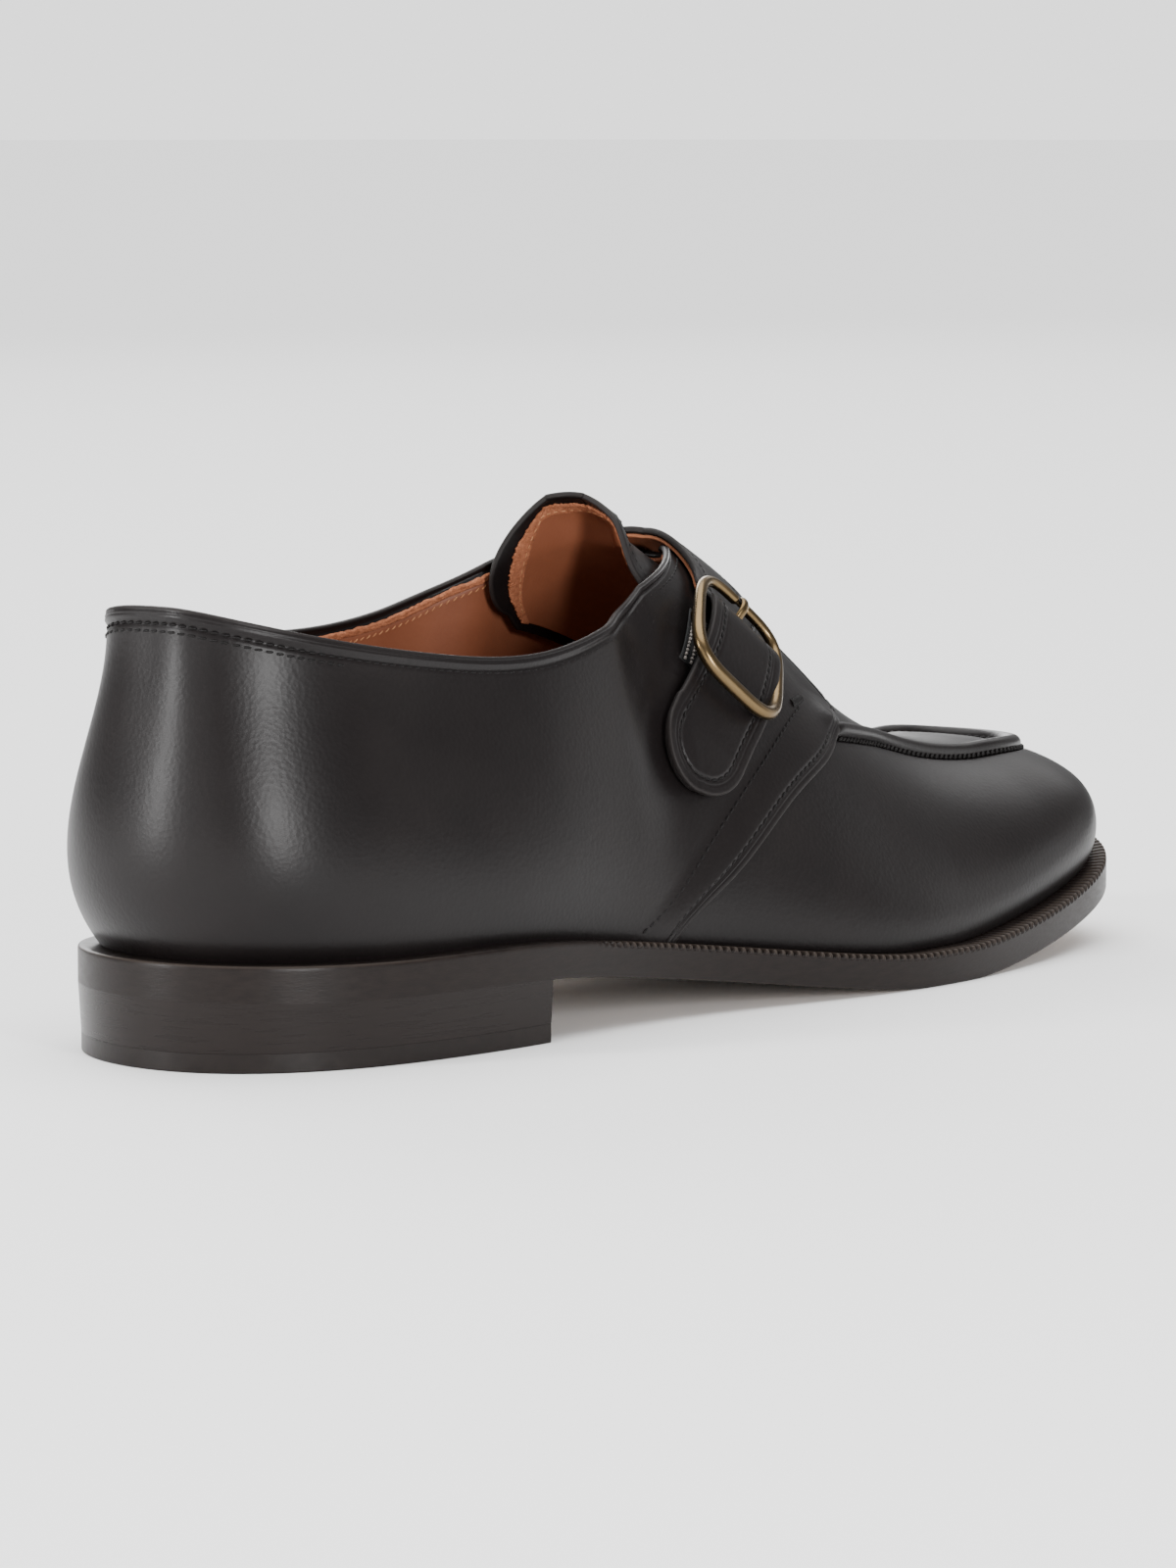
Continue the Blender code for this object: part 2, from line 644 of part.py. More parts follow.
def strap_edges(count):
    """The four edge columns of the strap, with its round tip's rows first, and its clearance.

    The tip is half an ellipse. Its half-axes are half of the first row and the line from that row's
    middle to the tip's point.
    """
    *edges, clear = smooth_rows(STRAP_ROWS, count)
    rear, front = np.array([edge[0] for edge in edges]).reshape(2, 2)
    middle = (rear + front) / 2
    angle = np.radians(np.linspace(*STRAP_TIP_ANGLES))[:-1, None]
    centre = middle + np.cos(angle) * (np.array(STRAP_TIP) - middle)
    half = np.sin(angle) * (front - rear) / 2
    tip = np.concatenate([centre - half, centre + half], 1).T
    edges = [np.concatenate([start, edge]) for start, edge in zip(tip, edges)]
    return edges, np.concatenate([np.full(len(angle), clear[0]), clear])


def make_strap(leather, count=42, across=6):
    edges, clear = strap_edges(count)
    x, over = band(edges, across)
    low = np.broadcast_to(clear[:, None], x.shape)[..., None]
    return slab("strap", over_skin(x, over, low + STRAP), over_skin(x, over, low), leather)


def make_gore(elastic, count=6, across=5):
    x, over = band(smooth_rows(GORE_ROWS, count), across)
    return slab("gore", over_skin(x, over, GAP + GORE), over_skin(x, over, GAP), elastic)


def buckle_frame():
    """Centre and unit axes of the buckle: along its bars, along the strap and outwards."""
    bars = np.array(BUCKLE_ACROSS)
    bars /= np.linalg.norm(bars)
    out = np.cross(bars, np.array(BUCKLE_ALONG))
    out /= np.linalg.norm(out)
    return np.array(BUCKLE_CENTRE), bars, np.cross(out, bars), out


def make_buckle(brass, corner_count=7):
    """A rounded square of tapering wire, joined to the bent bar across its middle."""
    centre, bars, along, out = buckle_frame()
    half = np.array(BUCKLE_SIZE) / 2
    path = []
    for quarter in range(4):
        turn = math.pi / 2 * quarter
        corner = np.array([math.cos(turn) - math.sin(turn), math.sin(turn) + math.cos(turn)])
        for angle in np.linspace(turn, turn + math.pi / 2, corner_count):
            path.append(corner * (half - BUCKLE_CORNER)
                        + BUCKLE_CORNER * np.array([math.cos(angle), math.sin(angle)]))
    path = np.array(path)
    share = (1 - path[:, 1] / half[1]) / 2
    wire = (FRAME_WIRE[0] + (FRAME_WIRE[1] - FRAME_WIRE[0]) * share) / 2
    ring = sweep("buckle_frame", centre + path @ np.stack([bars, along]),
                 np.tile(out, (len(path), 1)), np.stack([wire, wire], -1), brass, closed=True)
    across, dip = (np.array(column(BAR_ROWS, i)) for i in range(2))
    line = (centre + np.concatenate([-across, across[::-1]])[:, None] * bars
            + np.concatenate([dip, dip[::-1]])[:, None] * out)
    rod = sweep("bar_core", line, np.tile(along, (len(line), 1)), (BAR_WIRE / 2, BAR_WIRE / 2), brass)
    rod.hide_render = True
    rod.display_type = "WIRE"
    join = ring.modifiers.new("bar", "BOOLEAN")
    join.operation = "UNION"
    join.object = rod
    return ring


def make_prong(brass, count=22):
    """A flat hook round the bar that turns into a round tip over the frame."""
    centre, bars, along, out = buckle_frame()
    low = BAR_ROWS[-1][1]
    turns = np.radians(np.linspace(*PRONG_TURNS))
    loop = [(PRONG_LOOP * math.cos(t), low + PRONG_LOOP * math.sin(t), *PRONG_HOOK) for t in turns]
    rows = loop + list(PRONG_ROWS)
    run = np.array([row[:2] for row in rows])
    knots = np.concatenate([[0.0], np.cumsum(np.linalg.norm(np.diff(run, axis=0), axis=1))])
    at = np.concatenate([knots[:len(loop)], np.linspace(knots[len(loop) - 1], knots[-1], count)[1:]])
    ahead, rise, wide, thick = (spline(knots, column(rows, i), at) for i in range(4))
    path = centre + ahead[:, None] * along + rise[:, None] * out
    up = np.cross(np.gradient(path, axis=0), bars)
    return sweep("buckle_prong", path, up, np.stack([wide, thick], -1), brass, sides=8)


def cut_slot(strap, sides=16, reach=9.0):
    """The hole that the prong comes through, as an oval cutter across the strap."""
    centre, bars, along, out = buckle_frame()
    start, end, width = SLOT
    middle, half = (start + end) / 2, (end - start) / 2
    angle = np.linspace(0, 2 * math.pi, sides, endpoint=False)
    ring = (centre + (middle + half * np.cos(angle))[:, None] * along
            + (width / 2 * np.sin(angle))[:, None] * bars)
    points = np.concatenate([ring - reach * out, ring + reach * out])
    faces = [tuple(range(sides)), tuple(range(sides, 2 * sides))]
    faces += [(j, (j + 1) % sides, (j + 1) % sides + sides, j + sides) for j in range(sides)]
    cutter = add("slot_cutter", points, faces, strap.data.materials[0])
    cutter.hide_render = True
    cutter.display_type = "WIRE"
    hole = strap.modifiers.new("slot", "BOOLEAN")
    hole.operation = "DIFFERENCE"
    hole.object = cutter


# ---------------------------------------------------------------- model
def bounds_origin():
    """The floor point under the middle of the bounding box, in the tables' own frame."""
    turns = np.linspace(0, 2 * math.pi, 361)
    edge = outline(turns)
    body = last(turns[:, None], np.linspace(0, 1, 25)[None, :] * collar(turns)[:, None])
    points = np.concatenate([edge, body[..., :2].reshape(-1, 2)])
    middle = (points.min(0) + points.max(0)) / 2
    return np.array([middle[0], middle[1], 0.0])


ORIGIN = bounds_origin()


def main():
    for old in list(bpy.data.objects):
        bpy.data.objects.remove(old, do_unlink=True)
    leather = material("calf_leather", (0.022, 0.017, 0.016), 0.38)
    sole_edge = material("sole_leather", (0.035, 0.026, 0.022), 0.35)
    rubber = material("heel_rubber", (0.02, 0.018, 0.018), 0.7)
    tan = material("lining_leather", (0.38, 0.16, 0.08), 0.55)
    elastic = material("gore_elastic", (0.012, 0.012, 0.013), 0.85)
    brass = material("antique_brass", (0.46, 0.35, 0.20), 0.32, 1.0)
    make_sole(sole_edge, rubber, tan)
    make_upper(leather)
    make_tongue(leather)
    strap = make_strap(leather)
    make_gore(elastic)
    make_buckle(brass)
    make_prong(brass)
    cut_slot(strap)


main()
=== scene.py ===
# %% [markdown]
# # A single-strap monk shoe with a hand-sewn apron
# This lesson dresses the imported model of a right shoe. Every leather piece of a real shoe is stretched
# over a wooden last, so here every piece is an offset of one surface: the last. Sculpting each piece
# freely would be quicker to start, but then no two edges would meet. Two numbers place a point on the
# last: `turn`, the way round the shoe from the heel over the outer side to the toe and back, and `up`,
# the way from the sole to the top. The tables are in millimetres in the last's own frame: x runs from
# the back of the heel to the toe, y to the inner side of the foot, and z up from the floor.

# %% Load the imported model
import math

import bmesh
import bpy
import numpy as np
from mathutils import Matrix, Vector


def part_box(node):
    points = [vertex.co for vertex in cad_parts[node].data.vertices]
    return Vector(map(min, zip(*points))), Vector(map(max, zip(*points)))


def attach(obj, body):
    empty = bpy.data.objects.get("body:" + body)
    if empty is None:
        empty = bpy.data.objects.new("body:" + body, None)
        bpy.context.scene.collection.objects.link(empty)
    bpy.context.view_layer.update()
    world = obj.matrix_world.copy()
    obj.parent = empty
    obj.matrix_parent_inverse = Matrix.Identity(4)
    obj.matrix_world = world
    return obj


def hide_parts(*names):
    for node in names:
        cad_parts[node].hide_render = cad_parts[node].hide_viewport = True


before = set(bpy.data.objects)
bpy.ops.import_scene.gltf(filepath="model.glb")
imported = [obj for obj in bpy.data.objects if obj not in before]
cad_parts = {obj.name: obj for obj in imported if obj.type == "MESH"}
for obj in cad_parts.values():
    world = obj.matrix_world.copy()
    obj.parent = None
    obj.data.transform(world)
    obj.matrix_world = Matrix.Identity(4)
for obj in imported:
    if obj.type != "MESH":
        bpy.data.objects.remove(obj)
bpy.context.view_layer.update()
MM = 0.001              # the tables' millimetre in the frame's metres
TAU = 2 * math.pi
print("nodes:", sorted(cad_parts))

# %% [markdown]
# ## The last
# A shoemaker draws a last from a plan outline and a row of cross-sections. The same sizes shaped the
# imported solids, so the fine surfaces made here lie on them without any fitting. Subdivided boxes could
# give a shoe too, but its sections would have to be pushed about by hand. Each table is short, one row
# for each place along the foot, and a cubic spline carries every column smoothly between rows.

# %% Driving sizes and tables
LENGTH = 305.0          # of the outsole
HEEL_LENGTH = 80.0      # of the heel block, from the back
HEEL_RADIUS = 37.0      # of the outline at the back of the heel
TOE_RADIUS = 35.0       # and at the toe
TOE_SHIFT = 6.5         # of the toe's tip to the inner side
OUTSOLE = 4.6           # thicknesses of the layers, from here on
WELT = 2.8
TOP_LIFT = 4.0
INSOLE = 3.6
WALL = 2.2
TONGUE = 2.0
STRAP = 2.4
GORE = 0.8
WELT_WIDTH = 8.5
HEEL_TAPER = 0.6        # the heel block draws in by this much down to its top lift
GAP = 0.3               # between two pieces that touch

# Half-widths of the outsole on both sides of the line from heel to toe.
OUTLINE = (
    # x, lateral, medial
    (25, 33.5, 36.0), (50, 39.8, 37.8), (76, 41.8, 35.6), (105, 41.2, 30.8), (135, 43.2, 31.5),
    (170, 50.0, 41.0), (200, 53.0, 49.5), (230, 50.2, 51.0), (262, 43.2, 44.6), (287, 32.0, 31.0),
)
# Underside of the outsole: heel seat, arch, ball and toe spring.
BOTTOM = (
    # x, z
    (0, 14.6), (40, 13.7), (80, 13.2), (110, 10.2), (140, 6.2), (168, 2.4),
    (192, 0.0), (212, 0.0), (240, 2.8), (275, 9.0), (305, 16.5),
)
# The middle line over the instep, from the tongue's end to the toe.
CREST = (
    # x, y, z
    (138, 3.0, 112.0), (152, 4.5, 103.8), (166, 6.0, 96.2), (180, 6.8, 88.0), (193, 7.4, 78.2),
    (206, 7.6, 67.6), (220, 7.2, 58.0), (234, 6.6, 51.4), (248, 6.0, 47.4), (262, 6.0, 45.4),
    (275, 6.0, 44.6),
)
# One rib per row: it rises from the sole at x, swells out and ends at its top.
RIBS_LATERAL = (
    # x, inset, swell, rise, top_x, top_y, top_z, reach, drop, crest
    (12, 4.6, 16.0, 22.0, 9.0, -14.5, 91.5, -1.0, 22.0, 0),
    (35, 4.6, 10.5, 21.0, 28.5, -26.1, 86.5, 1.0, 20.0, 0),
    (65, 4.2, 7.0, 19.0, 60.0, -28.2, 87.0, 3.0, 20.0, 0),
    (90, 4.0, 6.0, 18.0, 88.0, -24.2, 96.0, 9.0, 20.0, 0),
    (112, 4.0, 5.0, 20.0, 115.0, -13.0, 107.0, 15.0, 14.0, 0),
    (135, 4.0, 5.0, 22.0, 142.0, 3.4, 110.0, 23.0, 4.0, 1),
    (160, 4.4, 5.0, 20.0, 168.0, 6.0, 98.0, 26.5, 0.0, 1),
    (190, 5.0, 5.0, 18.0, 196.0, 7.4, 76.0, 25.5, 0.0, 1),
    (220, 5.4, 6.0, 16.0, 223.0, 7.0, 56.4, 28.0, 0.0, 1),
    (250, 5.2, 8.0, 15.2, 246.0, 6.0, 47.9, 31.0, 0.0, 1),
    (277, 4.4, 8.5, 15.0, 257.0, 6.0, 46.0, 31.0, 0.0, 1),
    (297, 4.0, 7.5, 16.0, 261.0, 6.0, 45.5, 29.0, 0.0, 1),
)
RIBS_MEDIAL = (
    # x, inset, swell, rise, top_x, top_y, top_z, reach, drop, crest
    (12, 4.6, 16.0, 22.0, 8.6, 16.0, 91.0, -2.0, 22.0, 0),
    (35, 4.6, 9.0, 21.0, 28.5, 25.0, 86.0, -0.5, 20.0, 0),
    (65, 4.2, 6.0, 19.0, 60.0, 27.5, 89.0, 3.0, 20.0, 0),
    (90, 4.0, 6.0, 18.0, 88.0, 24.5, 97.0, 9.0, 20.0, 0),
    (112, 4.0, 6.0, 20.0, 115.0, 17.0, 107.0, 13.0, 14.0, 0),
    (135, 4.0, 6.0, 24.0, 142.0, 3.4, 110.0, 22.0, 4.0, 1),
    (160, 4.4, 6.0, 22.0, 168.0, 6.0, 98.0, 25.5, 0.0, 1),
    (190, 5.0, 6.0, 18.0, 196.0, 7.4, 76.0, 24.5, 0.0, 1),
    (220, 5.4, 7.0, 16.0, 223.0, 7.0, 56.4, 27.0, 0.0, 1),
    (250, 5.2, 8.0, 15.2, 246.0, 6.0, 47.9, 30.0, 0.0, 1),
    (277, 4.4, 8.5, 15.0, 257.0, 6.0, 46.0, 30.0, 0.0, 1),
    (297, 4.0, 7.5, 16.0, 261.0, 6.0, 45.5, 29.0, 0.0, 1),
)
RIB_HEEL = (4.6, 16.0, 22.0, 4.6, 0.0, 92.6, -2.0, 22.0, 0)
RIB_TOE = (4.0, 7.0, 16.5, 262.0, 6.0, 45.4, 29.0, 0.0, 1)
# Height of the collar's edge over each rib.
COLLAR_HEEL = 92.6
COLLAR_TOP = 110.0
COLLAR_LATERAL = (
    # x, z
    (12, 91.1), (35, 86.0), (65, 80.7), (90, 79.0), (110, 82.0), (125, 86.0), (137, 92.0),
    (150, 101.5), (168, 104.0),
)
COLLAR_MEDIAL = (
    # x, z
    (12, 90.6), (35, 85.4), (65, 82.0), (90, 81.5), (110, 86.0), (125, 92.8), (137, 97.5),
    (150, 101.4), (168, 104.0),
)
print("the shoe is", LENGTH, "mm long")

# %% Curves through the tables
def spline(knots, values, at, ends="natural"):
    """Natural, flat-ended or periodic cubic spline: between two knots the value is the straight line
    between them plus both knots' second derivatives times a cubic that is zero at the knots."""
    k, v = np.asarray(knots, float), np.asarray(values, float)
    n, step = len(k), np.diff(k)
    slope = np.diff(v) / step
    rows, right = np.zeros((n, n)), np.zeros(n)
    for i in range(1, n - 1):
        rows[i, i - 1:i + 2] = step[i - 1], 2 * (step[i - 1] + step[i]), step[i]
        right[i] = 6 * (slope[i] - slope[i - 1])
    if ends == "periodic":
        rows[0, 0], rows[0, -1] = 1, -1
        rows[-1, -1], rows[-1, -2] = 2 * step[-1], step[-1]
        rows[-1, 0], rows[-1, 1] = 2 * step[0], step[0]
        right[-1] = 6 * (slope[0] - slope[-1])
    elif ends == "flat":
        rows[0, :2] = 2 * step[0], step[0]
        rows[-1, -2:] = step[-1], 2 * step[-1]
        right[0], right[-1] = 6 * slope[0], -6 * slope[-1]
    else:
        rows[0, 0] = rows[-1, -1] = 1
    bend = np.linalg.solve(rows, right)
    x = np.asarray(at, float)
    i = np.clip(np.searchsorted(k, x, side="right") - 1, 0, n - 2)
    a, b = (k[i + 1] - x) / step[i], (x - k[i]) / step[i]
    return (a * v[i] + b * v[i + 1]
            + ((a ** 3 - a) * bend[i] + (b ** 3 - b) * bend[i + 1]) * step[i] ** 2 / 6)


def column(table, i):
    """One column of a table."""
    return [row[i] for row in table]


def table_spline(table, i, at):
    """A natural spline through a column over the row numbers."""
    return spline(np.arange(len(table)), column(table, i), at)


def smooth(value, low=0.0, high=1.0):
    """0 below low, 1 above high and a cubic ease between them."""
    t = np.clip((np.asarray(value, float) - low) / (high - low), 0, 1)
    return t * t * (3 - 2 * t)


def bell(distance, centre, width, height):
    """A bell curve: the height at the centre, falling off on both sides."""
    return height * np.exp(-((distance - centre) / width) ** 2)


def unit(vectors):
    """Vectors divided by their own lengths."""
    return vectors / np.maximum(np.linalg.norm(vectors, axis=-1, keepdims=True), 1e-12)


def run_along(path):
    """Length run from the first point of a path to each point, as a sum of straight steps. The columns
    of a grid are run along side by side."""
    step = np.linalg.norm(np.diff(path, axis=0), axis=-1)
    return np.concatenate([np.zeros((1,) + step.shape[1:]), np.cumsum(step, 0)])


print("cubic easing at 0, 1/4, 1/2, 3/4 and 1:", smooth(np.linspace(0, 1, 5)))

# %% The sole's outline and height
def turn_at(x):
    """The turning angle at x: its cosine falls evenly from 1 at the heel to -1 at the toe."""
    return np.arccos(np.clip(1 - 2 * np.asarray(x, float) / LENGTH, -1, 1))


def x_at(turn):
    """The way back, from a turn on either side to x."""
    return LENGTH * (1 - np.cos(turn)) / 2


def outline(turn):
    """Outsole edge in plan: x follows a cosine of the turn, y is a middle line plus or minus a girth
    times the sine of the turn, so that heel and toe close round."""
    turn = np.asarray(turn, float) % TAU
    side = np.where(turn <= math.pi, -1.0, 1.0)
    angle = np.where(turn <= math.pi, turn, TAU - turn)
    knots = turn_at(column(OUTLINE, 0))
    lateral, medial = (np.array(column(OUTLINE, i), float) for i in (1, 2))
    full = np.concatenate([[0], knots, [math.pi]])
    girth = np.concatenate([[math.sqrt(HEEL_RADIUS * LENGTH / 2)],
                            (lateral + medial) / 2 / np.sin(knots),
                            [math.sqrt(TOE_RADIUS * LENGTH / 2)]])
    middle = np.concatenate([[0], (medial - lateral) / 2, [TOE_SHIFT]])
    half = spline(full, girth, angle, "flat") * np.sin(angle)
    return np.stack([x_at(angle), spline(full, middle, angle, "flat") + side * half], -1)


def outward(turn):
    """Unit normal of the outline: its tangent turned a quarter towards the outside."""
    along = outline(turn + 1e-3) - outline(turn - 1e-3)
    return unit(np.stack([along[..., 1], -along[..., 0]], -1))


def bottom(x):
    """Height of the outsole's underside, with a flat tread under the ball."""
    return np.maximum(spline(column(BOTTOM, 0), column(BOTTOM, 1), x), 0.0)


def seat(x):
    """Height of the welt's top, where the upper stands."""
    return bottom(x) + OUTSOLE + GAP + WELT


print("the outline is", np.ptp(outline(np.linspace(0, TAU, 720))[:, 1]).round(1), "mm wide")

# %% The last as a function of turn and up
def rib_values(turn):
    """Every column of the rib tables at an angle, as one periodic spline round the shoe."""
    lateral = [(turn_at(row[0]), row[1:]) for row in RIBS_LATERAL]
    medial = [(TAU - turn_at(row[0]), row[1:]) for row in reversed(RIBS_MEDIAL)]
    rows = [(0.0, RIB_HEEL), *lateral, (math.pi, RIB_TOE), *medial, (TAU, RIB_HEEL)]
    return [spline(column(rows, 0), [row[1][i] for row in rows], turn, "periodic") for i in range(9)]


def last(turn, up):
    """The last's surface: each rib is a cubic Bezier curve from its foot on the sole to its top, with
    one handle that swells outwards and rises, and one that reaches out from the crest."""
    turn, up = np.broadcast_arrays(np.asarray(turn, float) % TAU, np.asarray(up, float))
    inset, swell, rise, top_x, top_y, top_z, reach, drop, ridge = rib_values(turn)
    normal = outward(turn)
    foot = outline(turn) - inset[..., None] * normal
    foot = np.concatenate([foot, (seat(foot[..., 0]) + GAP)[..., None]], -1)
    flat = np.concatenate([normal, np.zeros_like(inset)[..., None]], -1)
    high = np.array([0.0, 0.0, 1.0])
    knots, y, z = (column(CREST, i) for i in range(3))
    at = np.clip(top_x, knots[0], knots[-1])
    slope = spline(knots, z, at + 0.5) - spline(knots, z, at - 0.5)
    on = smooth(ridge)
    top = np.stack([top_x, top_y + (spline(knots, y, at) - top_y) * on,
                    top_z + (spline(knots, z, at) - top_z) * on], -1)
    tilt = on * slope * normal[..., 0]
    first = foot + swell[..., None] * flat + rise[..., None] * high
    second = top + reach[..., None] * flat + (tilt * reach - drop)[..., None] * high
    s = up[..., None]
    return ((1 - s) ** 3 * foot + 3 * (1 - s) ** 2 * s * first
            + 3 * (1 - s) * s ** 2 * second + s ** 3 * top)


def collar(turn):
    """How far up each rib the collar's edge lies, found by halving the interval on its height."""
    turn = np.asarray(turn, float) % TAU
    lateral = [(turn_at(x), z) for x, z in COLLAR_LATERAL]
    medial = [(TAU - turn_at(x), z) for x, z in reversed(COLLAR_MEDIAL)]
    rows = [(0.0, COLLAR_HEEL), *lateral, (math.pi, COLLAR_TOP), *medial, (TAU, COLLAR_HEEL)]
    height = spline(column(rows, 0), column(rows, 1), turn, "periodic")
    low, high = np.full(turn.shape, 0.4), np.ones(turn.shape)
    for _ in range(24):
        middle = (low + high) / 2
        under = last(turn, middle)[..., 2] < height
        low, high = np.where(under, middle, low), np.where(under, high, middle)
    return (low + high) / 2


def normal_at(turn, up):
    """Unit normal of the last: the cross product of its steps round and up."""
    turn, up = np.broadcast_arrays(np.asarray(turn, float), np.asarray(up, float))
    low, high = np.maximum(up - 1e-3, 0.0), np.minimum(up + 1e-3, 1.0)
    around = last(turn + 1e-3, (low + high) / 2) - last(turn - 1e-3, (low + high) / 2)
    return unit(np.cross(around, last(turn, high) - last(turn, low)))


def raised(turn, up, height=0.0):
    """Points of the last moved out along its normals by a height, and those normals."""
    normal = normal_at(turn, up)
    return last(turn, up) + np.broadcast_to(height, normal.shape[:-1])[..., None] * normal, normal


def over_turn(x, over):
    """turn and up of a point over the rib at x: over runs 0 to 1 up the lateral side, 1 to 2 down
    the medial side."""
    x, over = np.broadcast_arrays(np.asarray(x, float), np.asarray(over, float))
    return np.where(over <= 1, turn_at(x), TAU - turn_at(x)), np.where(over <= 1, over, 2 - over)


def middle_of_shoe():
    """The floor point under the middle of the shoe's box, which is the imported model's origin."""
    turns = np.linspace(0, TAU, 361)
    body = last(turns[:, None], np.linspace(0, 1, 25)[None, :] * collar(turns)[:, None])
    points = np.concatenate([outline(turns), body[..., :2].reshape(-1, 2)])
    return np.append((points.min(0) + points.max(0)) / 2, 0.0)


ORIGIN = middle_of_shoe()
heel_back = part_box("outsole")[0][0] / MM + ORIGIN[0]
print("the frame's outsole starts", round(heel_back, 3), "mm from the last's heel line")

# %% [markdown]
# ## Helpers that turn arrays into pieces
# A leather piece is a sheet: a middle surface, a thickness and a rounded cut edge. A Solidify modifier
# gives a wall too, but with a square edge. `sheet` takes the middle surface as a grid of points with
# normals, lays a grid half a thickness to each side and joins them by a half-round rim. The rim is
# marked in an attribute, so that a material can colour the raw cut edge. `tube` carries an oval section
# along a path, for wire.


def quads(index, closed=False):
    """Faces between neighbouring rows and columns of a grid of vertex numbers."""
    wide = np.concatenate([index, index[:, :1]], 1) if closed else index
    return np.stack([wide[:-1, :-1], wide[:-1, 1:], wide[1:, 1:], wide[1:, :-1]], -1).reshape(-1, 4)


def place_object(name, data):
    """Put a mesh, a light or a camera into the scene, at the origin and unturned."""
    made = bpy.data.objects.new(name, data)
    bpy.context.scene.collection.objects.link(made)
    return made


def piece(name, points, faces, look, stands_for=(), edge=None, closed=True):
    """Make one object from points in millimetres: shift to the frame's origin, scale to metres, merge
    doubles, and turn the faces of a closed mesh outwards."""
    mesh = bpy.data.meshes.new(name)
    mesh.from_pydata(((np.asarray(points).reshape(-1, 3) - ORIGIN) * MM).tolist(), [],
                     faces.tolist() if isinstance(faces, np.ndarray) else faces)
    if edge is not None:
        mark = mesh.attributes.new("edge", "FLOAT", "POINT")
        mark.data.foreach_set("value", np.asarray(edge, np.float32).ravel())
    work = bmesh.new()
    work.from_mesh(mesh)
    bmesh.ops.remove_doubles(work, verts=work.verts, dist=2e-6)
    bmesh.ops.dissolve_degenerate(work, edges=work.edges, dist=1e-7)
    if closed:
        bmesh.ops.recalc_face_normals(work, faces=work.faces)
    work.to_mesh(mesh)
    work.free()
    mesh.shade_smooth()
    mesh.materials.append(look)
    made = place_object(name, mesh)
    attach(made, "root")
    if stands_for:
        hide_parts(*stands_for)
    print(name, len(mesh.polygons), "faces")
    return made


# %% Sheets and tubes
def sheet(name, middle, normal, thickness, look, stands_for=(), rim=5, square=1.0):
    """A closed sheet: the middle grid plus and minus half the thickness along its normals, and a rim
    whose points lie on a half circle, half a thickness out from the boundary. A square under 1 is the
    power of the circle's sine and cosine, which flattens the rim to a cut edge."""
    rows, cols = middle.shape[:2]
    count, half = rows * cols, thickness / 2
    index = np.arange(count).reshape(rows, cols)
    loop = np.concatenate([index[0, :-1], index[:-1, -1], index[-1, :0:-1], index[:0:-1, 0]])
    middle, normal = middle.reshape(-1, 3), normal.reshape(-1, 3)
    at, up = middle[loop], normal[loop]
    out = unit(np.cross(np.roll(at, -1, 0) - np.roll(at, 1, 0), up))
    inner = np.clip(loop // cols, 1, rows - 2) * cols + np.clip(loop % cols, 1, cols - 2)
    out = out * np.sign((out * (at - middle[inner])).sum())
    angles = np.linspace(math.pi / 2, -math.pi / 2, rim + 2)[1:-1]
    cos, sin = (np.sign(f) * abs(f) ** square for f in (np.cos(angles), np.sin(angles)))
    ring = at + half * (cos[:, None, None] * out + sin[:, None, None] * up)
    points = np.concatenate([middle + half * normal, middle - half * normal, ring.reshape(-1, 3)])
    strips = np.concatenate([loop[None], 2 * count + np.arange(rim * len(loop)).reshape(rim, -1),
                             (loop + count)[None]])
    faces = np.concatenate([quads(index), quads(index + count), quads(strips, closed=True)])
    return piece(name, points, faces, look, stands_for, np.arange(len(points)) >= 2 * count)


def tube(name, path, lift, half_sizes, look, stands_for=(), sides=20, closed=False):
    """An oval section along a path: cosine of the angle across, sine along the lift direction."""
    ahead = np.roll(path, -1, 0) - np.roll(path, 1, 0)
    if not closed:
        ahead[0], ahead[-1] = path[1] - path[0], path[-1] - path[-2]
    ahead = unit(ahead)
    across = unit(np.cross(ahead, np.broadcast_to(lift, path.shape)))
    up = np.cross(across, ahead)
    angle = np.linspace(0, TAU, sides, endpoint=False)
    half = np.broadcast_to(half_sizes, (len(path), 2))
    ring = (path[:, None] + np.cos(angle)[None, :, None] * half[:, :1, None] * across[:, None]
            + np.sin(angle)[None, :, None] * half[:, 1:, None] * up[:, None])
    index = np.arange(len(path) * sides).reshape(len(path), sides)
    if closed:
        index = np.concatenate([index, index[:1]])
    faces = quads(index, closed=True).tolist()
    if not closed:
        faces += [index[0].tolist(), index[-1].tolist()]
    return piece(name, ring, faces, look, stands_for)


print("a sheet of 4 by 5 points has", len(quads(np.arange(20).reshape(4, 5))), "faces on each side")

# %% [markdown]
# ## Finishes
# Polished calf has a satin shine over a fine pebbled grain, and its dye is never quite even. Painted
# textures would need a flat layout of every piece, so the patterns here are worked out in space, on
# Object coordinates. Two effects are used by most of the finishes, so each is a node group: `grain`
# gives a height for the Bump node, and `mottle` a soft mask between two tones. Constants such as the
# specular level stay on the shader.

# %% Shared node groups
def group(name, inputs, outputs):
    """An empty shader group with named sockets: (name, type, value) in, (name, type) out."""
    made = bpy.data.node_groups.new(name, "ShaderNodeTree")
    for label, kind, value in inputs:
        socket = made.interface.new_socket(name=label, in_out="INPUT", socket_type=kind)
        if value is not None:
            socket.default_value = value
    for label, kind in outputs:
        made.interface.new_socket(name=label, in_out="OUTPUT", socket_type=kind)
    return made, made.nodes.new("NodeGroupInput"), made.nodes.new("NodeGroupOutput")


